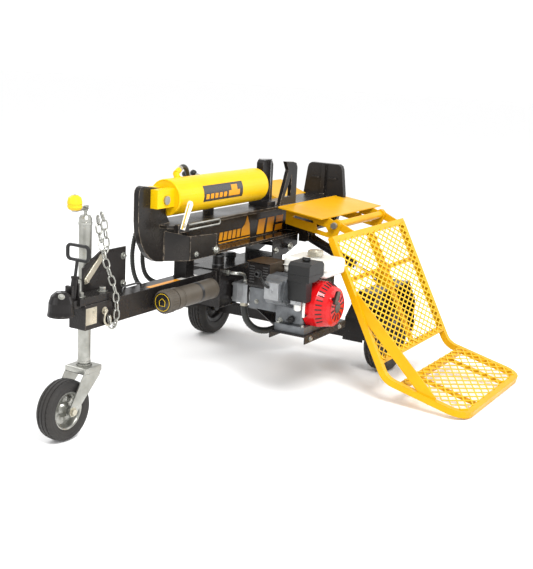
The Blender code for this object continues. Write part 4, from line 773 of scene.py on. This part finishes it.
def decal(name, mat, shapes):
    made = Piece(name, mat)
    for outline in shapes:
        made.plate([M(x, WEB_Y, z) for x, z in outline], FILM)
    return made.done()


decal("beam_decal_front", "orange_film",
      [[(x, 0.64), (x + 0.026, 0.64), (x + 0.032, 0.676), (x + 0.006, 0.676)]
          for x in (-0.715, -0.68, -0.645, -0.61, -0.575)]
      + [[(-0.54, 0.64), (-0.462, 0.64), (-0.47, 0.69), (-0.49, 0.728), (-0.51, 0.69), (-0.532, 0.676)],
         [(-0.715, 0.628), (-0.462, 0.628), (-0.462, 0.633), (-0.715, 0.633)]])
decal("beam_decal_rear", "orange_film", [
    [(-0.405, 0.632), (-0.345, 0.632), (-0.33, 0.7), (-0.39, 0.7)],
    [(-0.325, 0.632), (-0.265, 0.632), (-0.25, 0.7), (-0.31, 0.7)],
    [(-0.245, 0.632), (-0.18, 0.632), (-0.176, 0.66), (-0.24, 0.66)],
    [(-0.238, 0.67), (-0.174, 0.67), (-0.17, 0.7), (-0.232, 0.7)],
    [(-0.405, 0.618), (-0.18, 0.618), (-0.18, 0.624), (-0.405, 0.624)]])

label = Piece("cylinder_label", "black_film")
label_edge = Piece("cylinder_label_mark", "orange_film")


def patch(piece, x0, x1, t0, t1, radius, steps=10):
    """Thin curved plate on the cylinder's side between two angles from straight out."""
    axis = M(0, 0, RAM_Z)
    angles = [math.radians(t0 + (t1 - t0) * i / steps) for i in range(steps + 1)]
    rows = []
    for r in (radius, radius + FILM):
        rows.append([[Vector((x + SHIFT.x, axis.y - r * math.cos(t), axis.z + r * math.sin(t)))
            for x in (x0, x1)] for t in angles])
    for inner, outer in zip(zip(rows[0], rows[0][1:]), zip(rows[1], rows[1][1:])):
        (a, b), (c, d) = inner, outer
        piece.brick((a[0], a[1], b[1], b[0], c[0], c[1], d[1], d[0]))


patch(label, -0.935, -0.645, -20, 32, 0.0731)
label.done()
for x in (-0.92, -0.888, -0.856, -0.824, -0.792):
    patch(label_edge, x, x + 0.022, -12, 4, 0.0736, 4)
patch(label_edge, -0.755, -0.67, -12, 6, 0.0736, 4)
patch(label_edge, -0.735, -0.69, 6, 24, 0.0736, 4)
label_edge.done()
# the cylinder beads take the lighter copy of the yellow paint: painted light
piece = Piece("cylinder_beads", "lit_yellow_paint")
piece.pipe([M(-1.098, 0.069 * math.cos(t), RAM_Z + 0.069 * math.sin(t))
    for t in [math.radians(7.5 * k) for k in range(48)]], [0.0034 + 0.0008 * (k % 2) for k in range(48)], 8,
    loop=True)
piece.weld(M(-0.985, 0.008, 0.934), M(-0.985, 0.034, 0.934), 0.003)
piece.done(angle=80)
Piece("cylinder_gland", "dark_steel").spin(
    [(0.0312, 0.0), (0.05, 0.0), (0.052, 0.002), (0.052, 0.01), (0.05, 0.012), (0.0312, 0.012)],
    M(-0.4188, 0, RAM_Z), REAR, 60, ring=True,
    shape=ribbed(-0.004, 60, 15, (0, 1), 0.045)).done(angle=30)
Piece("pin_clip", "pale_zinc").pipe(smooth([M(-1.155, 0.056, 0.88), M(-1.155, 0.056, 0.845),
    M(-1.15, 0.057, 0.838), M(-1.143, 0.057, 0.842), M(-1.1425, 0.0565, 0.856), M(-1.139, 0.0565, 0.864),
    M(-1.1425, 0.0565, 0.874), M(-1.146, 0.057, 0.882)], 0.004), 0.0016, 8).done()
Piece("pin_washer", "pale_zinc").collar(0.0126, 0.0185, 0.002, M(-1.155, 0.0475, RAM_Z), FAR, 32).done()
piece = Piece("wedge_welds", "black_paint", "ram")
for y in (-0.0172, 0.0172):
    piece.weld(M(-0.394, y, 0.7838), M(-0.33, y, 0.7838), 0.0026)
piece.spin([(0.0302, 0.0), (0.036, 0.0), (0.036, 0.01), (0.0302, 0.014)], M(-0.3955, 0, RAM_Z), FRONT, 40,
    ring=True)
piece.done()
piece = Piece("wedge_edge_steel", "dark_steel", "ram")
piece.plate([M(-0.3288, -0.0166, 0.79), M(-0.2905, -0.0005, 0.79), M(-0.2905, -0.0005, 0.9672),
    M(-0.3288, -0.0166, 0.9672)], 0.0003)
piece.plate([M(-0.3288, 0.0166, 0.9672), M(-0.2905, 0.0005, 0.9672), M(-0.2905, 0.0005, 0.79),
    M(-0.3288, 0.0166, 0.79)], 0.0003)
piece.done()
Piece("tag_lever_edge", "yellow_paint", "tag_lever").plate([M(-1.122, -0.0977, 0.753),
    M(-1.113, -0.0977, 0.75), M(-1.07, -0.0977, 0.846), M(-1.077, -0.0977, 0.85)], 0.0005).done()
bolts("tag_lever_stud", "pale_zinc", [((-1.103, -0.0976, 0.764), NEAR, 0.011, 0.005)], "tag_lever")
piece = Piece("valve_spools", "dark_steel")
piece.block(M(-0.738, 0.0862, 0.83), M(-0.607, 0.0885, 0.872))
for x in (-0.715, -0.655):
    piece.spin([(0.0112, 0.0), (0.014, 0.0), (0.014, 0.004), (0.0112, 0.006)], M(x, 0.115, 0.8853), UP, 32,
        ring=True)
piece.hexbolt(M(-0.6195, 0.115, 0.8852), UP, 0.014, 0.007)
piece.hexbolt(M(-0.5998, 0.115, 0.85), REAR, 0.022, 0.009)
piece.done(0.0004)
for x, word in ((-0.715, "ram_lever"), (-0.655, "lift_lever")):
    Piece(word + "_knob", "black_plastic", word).spin([(0.0, -0.0145), (0.007, -0.0135), (0.0115, -0.0095),
        (0.0142, -0.003), (0.0145, 0.002), (0.0125, 0.0085), (0.008, 0.013), (0.0, 0.015)],
        M(x, 0.179, 0.91), (0, 0.9793, 0.2025), 32).done()

# ---- tables
welds("table_edges", "yellow_paint", [
    ((-0.262, -0.1, 0.7515), (-0.262, -0.285, 0.7292), 0.0022),
    ((0.206, -0.1, 0.7515), (0.206, -0.285, 0.7292), 0.0022),
    ((-0.344, -0.0782, 0.7606), (0.23, -0.0782, 0.7606), 0.0024),
])
piece = Piece("hinge_collars", "pale_zinc")
for x in (-0.2872, 0.229):
    piece.collar(0.0098, 0.015, 0.0025, M(x, -0.335, 0.7), REAR, 32)
piece.disc(0.0022, 0.03, M(0.2335, -0.335, 0.715), DOWN, 12)
piece.done()

# ---- lifter mesh
PANEL_TOP, KNEE, TRAY_OUT = Vector((-0.423, 0.669)), Vector((-0.716, 0.107)), Vector((-1.075, 0.021))
PANEL_LOW = PANEL_TOP.lerp(KNEE, 0.885)
LIFT_X0, LIFT_X1 = -0.466, 0.256


def expanded_metal(name, node, start, end, sign, x0, x1, wide, tall):
    """Diamond mesh between two lines that run along X; wide is along X, tall down the slope."""
    down = Vector((0, end.x - start.x, end.y - start.y))
    length = down.length
    down.normalize()
    out = Vector((1, 0, 0)).cross(down).normalized()
    if (out.y if sign == "y" else -out.z) > 0:
        out = -out
    lift = out * 0.016
    corner = M(x0, start.x, start.y) + lift
    cols, rows = round((x1 - x0) / wide), round(length / tall)
    dx, dy = (x1 - x0) / cols, length / rows
    # the mesh takes the lighter copy of the yellow paint: painted light
    piece = Piece(name, "lit_yellow_paint", "lifter")
    strand, thick = 0.0031, 0.0016

    def at(u, v):
        return corner + Vector((u, 0, 0)) + down * v

    for i in range(cols):
        for j in range(rows):
            u, v = (i + 0.5) * dx, (j + 0.5) * dy
            ends = [(u - dx / 2, v), (u, v - dy / 2), (u + dx / 2, v), (u, v + dy / 2)]
            for k in range(4):
                a, b = at(*ends[k]), at(*ends[(k + 1) % 4])
                way = (b - a).normalized()
                side = way.cross(out).normalized() * strand
                tilt = out * (thick if k % 2 else thick * 0.6)
                piece.brick((a - side - tilt, a + side - tilt, a + side + tilt, a - side + tilt,
                    b - side - tilt, b + side - tilt, b + side + tilt, b - side + tilt))
    return piece.done(angle=20, replaces=(node,))


expanded_metal("lifter_panel_mesh", "lifter_mesh", PANEL_TOP.lerp(PANEL_LOW, 0.02),
    PANEL_TOP.lerp(PANEL_LOW, 0.99), "y", LIFT_X0 + 0.008, LIFT_X1 - 0.008, 0.059, 0.032)
expanded_metal("lifter_tray_mesh", "tray_mesh", KNEE.lerp(TRAY_OUT, 0.17), KNEE.lerp(TRAY_OUT, 0.97), "z",
    LIFT_X0 + 0.02, LIFT_X1 - 0.02, 0.066, 0.045)
lift_welds = Piece("lifter_welds", "yellow_paint", "lifter")
for x in (LIFT_X0 + 0.0145, LIFT_X1 - 0.0145):
    for share in (0.0, 0.33, 0.985):
        p = PANEL_TOP.lerp(PANEL_LOW, share)
        lift_welds.weld(M(x, p.x - 0.0075, p.y - 0.0135), M(x, p.x + 0.0075, p.y + 0.0135), 0.0026)
lift_welds.done()
LIFT_DIR = Vector((0, -0.9288, -0.3705))
piece = Piece("lift_cylinder_gland", "dark_steel", "lift_barrel")
piece.spin([(0.0115, 0.0), (0.017, 0.0), (0.017, 0.006), (0.0115, 0.007)],
    M(-0.1, -0.11, 0.6) + LIFT_DIR * 0.2665, LIFT_DIR, 36, ring=True)
piece.spin([(0.0222, 0.0), (0.0232, 0.001), (0.0232, 0.005), (0.0222, 0.006)],
    M(-0.1, -0.11, 0.6) + LIFT_DIR * 0.25, LIFT_DIR, 36, ring=True)
piece.disc(0.0085, 0.014, M(-0.1, -0.11, 0.6) + LIFT_DIR * 0.235 + Vector((0, 0.0075, -0.019)),
    (0, 0.3705, -0.9288), 6)
piece.done(angle=30)

# ---- engine
EX, CRANK = -0.65, 0.43
fins = Piece("engine_fins", "cast_alloy")
for k in range(8):
    s = k / 7
    fins.plate([M(-0.742 - 0.046 * s, -0.404, 0.448 + 0.014 * s),
        M(-0.742 - 0.046 * s, -0.304, 0.448 + 0.014 * s), M(-0.725 - 0.04 * s, -0.304, 0.556 - 0.004 * s),
        M(-0.725 - 0.04 * s, -0.404, 0.556 - 0.004 * s)], 0.0022)
fins.done(0.0004)
piece = Piece("engine_head_cover", "pale_alloy")
piece.block(M(-0.8545, -0.39, 0.466), M(-0.83, -0.325, 0.536))
piece.hexbolt(M(-0.8546, -0.3575, 0.501), FRONT, 0.012, 0.007)
piece.done(0.0085)
bolts("engine_bolts", "zinc", [((x, -0.1858, z), FAR, 0.013, 0.007)
    for x in (-0.722, -0.573) for z in (0.398, 0.464)] + [
    ((-0.7452, -0.345, 0.358), FRONT, 0.014, 0.008),
    ((-0.757, -0.456, 0.3503), UP, 0.013, 0.007),
    ((-0.757, -0.342, 0.3503), UP, 0.013, 0.007),
    ((-0.735, -0.3, 0.43), FRONT, 0.012, 0.006),
    ((-0.735, -0.22, 0.415), FRONT, 0.012, 0.006),
])
bolts("pump_bolts", "zinc", [
    ((EX + x, -0.0718, CRANK + z), FAR, 0.012, 0.008) for z in (-0.034, 0.028) for x in (-0.03, 0.03)
])
Piece("pump_coupling", "black_plastic").collar(0.049, 0.053, 0.012, M(EX, -0.164, CRANK), FAR).done(0.0006)
piece = Piece("pump_seams", "pale_alloy")
piece.block(M(EX - 0.0415, -0.122, CRANK - 0.0465), M(EX + 0.0415, -0.117, CRANK + 0.0395))
piece.block(M(EX - 0.0415, -0.096, CRANK - 0.0465), M(EX + 0.0415, -0.091, CRANK + 0.0395))
piece.done(0.0012)
piece = Piece("pump_pipe", "zinc")
piece.pipe(smooth([M(-0.716, -0.0565, 0.512), M(-0.716, -0.075, 0.513), M(-0.708, -0.095, 0.513),
    M(-0.69, -0.107, 0.511), M(-0.668, -0.109, 0.503), M(-0.655, -0.109, 0.49), M(-0.652, -0.109, 0.4695)],
    0.006), 0.0075, 16)
piece.collar(0.0076, 0.0125, 0.01, M(-0.652, -0.109, 0.47), UP, 6)
piece.collar(0.0076, 0.0125, 0.01, M(-0.716, -0.0558, 0.512), NEAR, 6)
piece.done(angle=40)
slots = Piece("muffler_slots", "dark_steel")
for k in range(7):
    z = 0.505 + 0.011 * k
    for y0, y1 in ((-0.292, -0.268), (-0.228, -0.204)):
        slots.block(M(-0.7764, y0, z), M(-0.7748, y1, z + 0.005))
    slots.block(M(-0.765, -0.1908, z), M(-0.668, -0.1892, z + 0.005))
slots.done(0.0003)
piece = Piece("muffler_shield", "bronze")
piece.block(M(-0.78, -0.303, 0.5915), M(-0.653, -0.192, 0.593))
piece.block(M(-0.78, -0.3045, 0.548), M(-0.653, -0.3032, 0.593))
piece.done(0.0006)
piece = Piece("muffler_outlet", "dark_steel")
piece.spin([(0.008, 0.0), (0.012, 0.0), (0.012, 0.016), (0.0105, 0.018), (0.008, 0.018)],
    M(-0.7752, -0.248, 0.545), FRONT, 32, ring=True)
piece.collar(0.013, 0.0175, 0.003, M(-0.7752, -0.248, 0.545), FRONT, 32)
piece.done()
piece = Piece("cleaner_knob", "black_plastic")
piece.spin([(0.0, 0.0), (0.013, 0.0), (0.0145, 0.002), (0.0145, 0.008), (0.011, 0.011), (0.0, 0.011)],
    M(-0.742, -0.45, 0.6221), UP, 32)
piece.block(M(-0.7445, -0.468, 0.624), M(-0.7395, -0.432, 0.637))
piece.done(0.001)
Piece("cleaner_seam", "black_plastic").block(M(-0.8065, -0.501, 0.57), M(-0.685, -0.401, 0.574)).done(0.001)
Piece("carburettor_bowl", "white_paint").spin([(0.0, 0.0), (0.012, 0.0), (0.015, 0.004), (0.016, 0.026),
    (0.0, 0.026)], M(-0.772, -0.438, 0.42), UP, 32).done()
piece = Piece("carburettor_body", "pale_alloy")
piece.block(M(-0.792, -0.462, 0.4465), M(-0.747, -0.414, 0.4618))
piece.block(M(-0.79, -0.4, 0.44), M(-0.752, -0.385, 0.47))
piece.hexbolt(M(-0.7925, -0.445, 0.454), FRONT, 0.009, 0.005)
piece.done(0.0025)
Piece("fuel_tank_seam", "white_paint").block(M(-0.674, -0.512, 0.575),
    M(-0.492, -0.296, 0.579)).done(0.0012)
piece = Piece("fuel_cap_ribs", "pale_zinc", "fuel_cap")
piece.spin([(0.0255, 0.0222), (0.03, 0.0212), (0.0325, 0.018), (0.0325, 0.004), (0.031, 0.002),
    (0.031, 0.02)], M(-0.59, -0.41, 0.6183), UP, 96, ring=True, shape=ribbed(0.0008, 96, 4, (0, 1)))
piece.spin([(0.0, 0.0225), (0.02, 0.0225), (0.019, 0.0245), (0.0, 0.0245)], M(-0.59, -0.41, 0.6183), UP, 40)
piece.done(angle=30)

# recoil and fan cover
FAN = M(EX, -0.4485, CRANK)
vents = Piece("fan_cover_vents", "black_plastic")


def vent_bar(t, ends, radius):
    """A radial bar; an end is its distance from the fan's axis and its distance out."""
    vents.pipe([FAN + Vector((r * math.cos(t), -out, r * math.sin(t))) for r, out in ends], radius, 8)


for k in range(30):
    t = 2 * math.pi * k / 30
    if math.sin(t) >= -0.62:
        vent_bar(t, ((0.0985, 0.056), (0.0862, 0.0795)), 0.0026)
for k in range(12):
    vent_bar(2 * math.pi * (k + 0.5) / 12, ((0.03, 0.1092), (0.055, 0.1079)), 0.0028)
vents.done(angle=60)


def flat_top(radius, dist, angle):
    """A bend for spin: the rim is cut off level above the fan."""
    if math.sin(angle) > 0.3:
        radius = min(radius, 0.0795 / math.sin(angle))
    return radius, dist


piece = Piece("fan_cover_rim", "red_paint")
piece.spin([(0.097, 0.001), (0.102, 0.001), (0.103, 0.003), (0.103, 0.007), (0.1015, 0.009),
    (0.0985, 0.009)], FAN, NEAR, 72, ring=True, shape=flat_top)
piece.spin([(0.06, 0.1065), (0.063, 0.1075), (0.062, 0.1095), (0.059, 0.11), (0.0575, 0.1085)], FAN, NEAR,
    64, ring=True)
piece.done()
Piece("fan_cover_badge", "black_film").spin([(0.0, 0.0), (0.0235, 0.0), (0.023, 0.0012), (0.0, 0.0012)],
    M(EX, -0.5585, CRANK), NEAR, 40).done()
Piece("recoil_boss", "red_paint").spin([(0.0075, -0.018), (0.015, -0.018), (0.014, -0.002), (0.01, 0.0),
    (0.0075, 0.0)], M(-0.7, -0.56, 0.474), (-0.45, -0.8, 0.4), 28, ring=True).done()
GRIP_DIR = Vector((-0.45, -0.8, 0.4)).normalized()
GRIP_MID = M(-0.7, -0.56, 0.474) + GRIP_DIR * 0.0345
grip = [GRIP_MID + Vector((0.012, 0, 0.024)) * s - GRIP_DIR * 0.0025 * (1 - s * s)
    for s in (-1.0, -0.9, -0.6, -0.2, 0.2, 0.6, 0.9, 1.0)]
Piece("recoil_grip_moulding", "drab_plastic", "recoil_grip").pipe(grip,
    [0.0045, 0.0072, 0.0084, 0.0078, 0.0078, 0.0084, 0.0072, 0.0045], 20, flat=0.85).done()
Piece("throttle_knob", "white_paint", "throttle_lever").block(M(-0.7735, -0.4705, 0.444),
    M(-0.7665, -0.4595, 0.458)).done(0.0018)
Piece("throttle_post", "dark_steel").disc(0.0055, 0.016, M(-0.7665, -0.465, 0.4), REAR, 20).done()
Piece("oil_cap_wings", "black_plastic", "oil_cap").block(M(-0.772, -0.4125, 0.3695),
    M(-0.76, -0.3875, 0.3745)).done(0.0008)
Piece("spark_plug_cap", "black_plastic").pipe(smooth([M(-0.854, -0.345, 0.515), M(-0.864, -0.34, 0.52),
    M(-0.867, -0.33, 0.532), M(-0.86, -0.315, 0.545), M(-0.84, -0.3, 0.548), M(-0.815, -0.295, 0.54)],
    0.006), 0.0055, 12).done()
bolts("deck_bolts", "zinc", [
    ((-0.74, -0.4872, 0.304), NEAR, 0.014, 0.007),
    ((-0.48, -0.4872, 0.304), NEAR, 0.014, 0.007),
    ((-0.47, -0.36, 0.3203), UP, 0.015, 0.008),
])
Piece("fan_sticker", "orange_film").block(M(-0.5625, -0.505, 0.48), M(-0.5545, -0.47, 0.492)).done(0.001)

# ---- floor
floor_bm = bmesh.new()
bmesh.ops.create_grid(floor_bm, x_segments=1, y_segments=1, size=45.0)
floor_mesh = bpy.data.meshes.new("floor")
floor_bm.to_mesh(floor_mesh)
floor_bm.free()
floor_mesh.materials.append(FLOOR)
floor_obj = bpy.data.objects.new("floor", floor_mesh)
bpy.context.scene.collection.objects.link(floor_obj)
floor_obj.location = (0, 0, -0.0008)

bpy.context.view_layer.update()
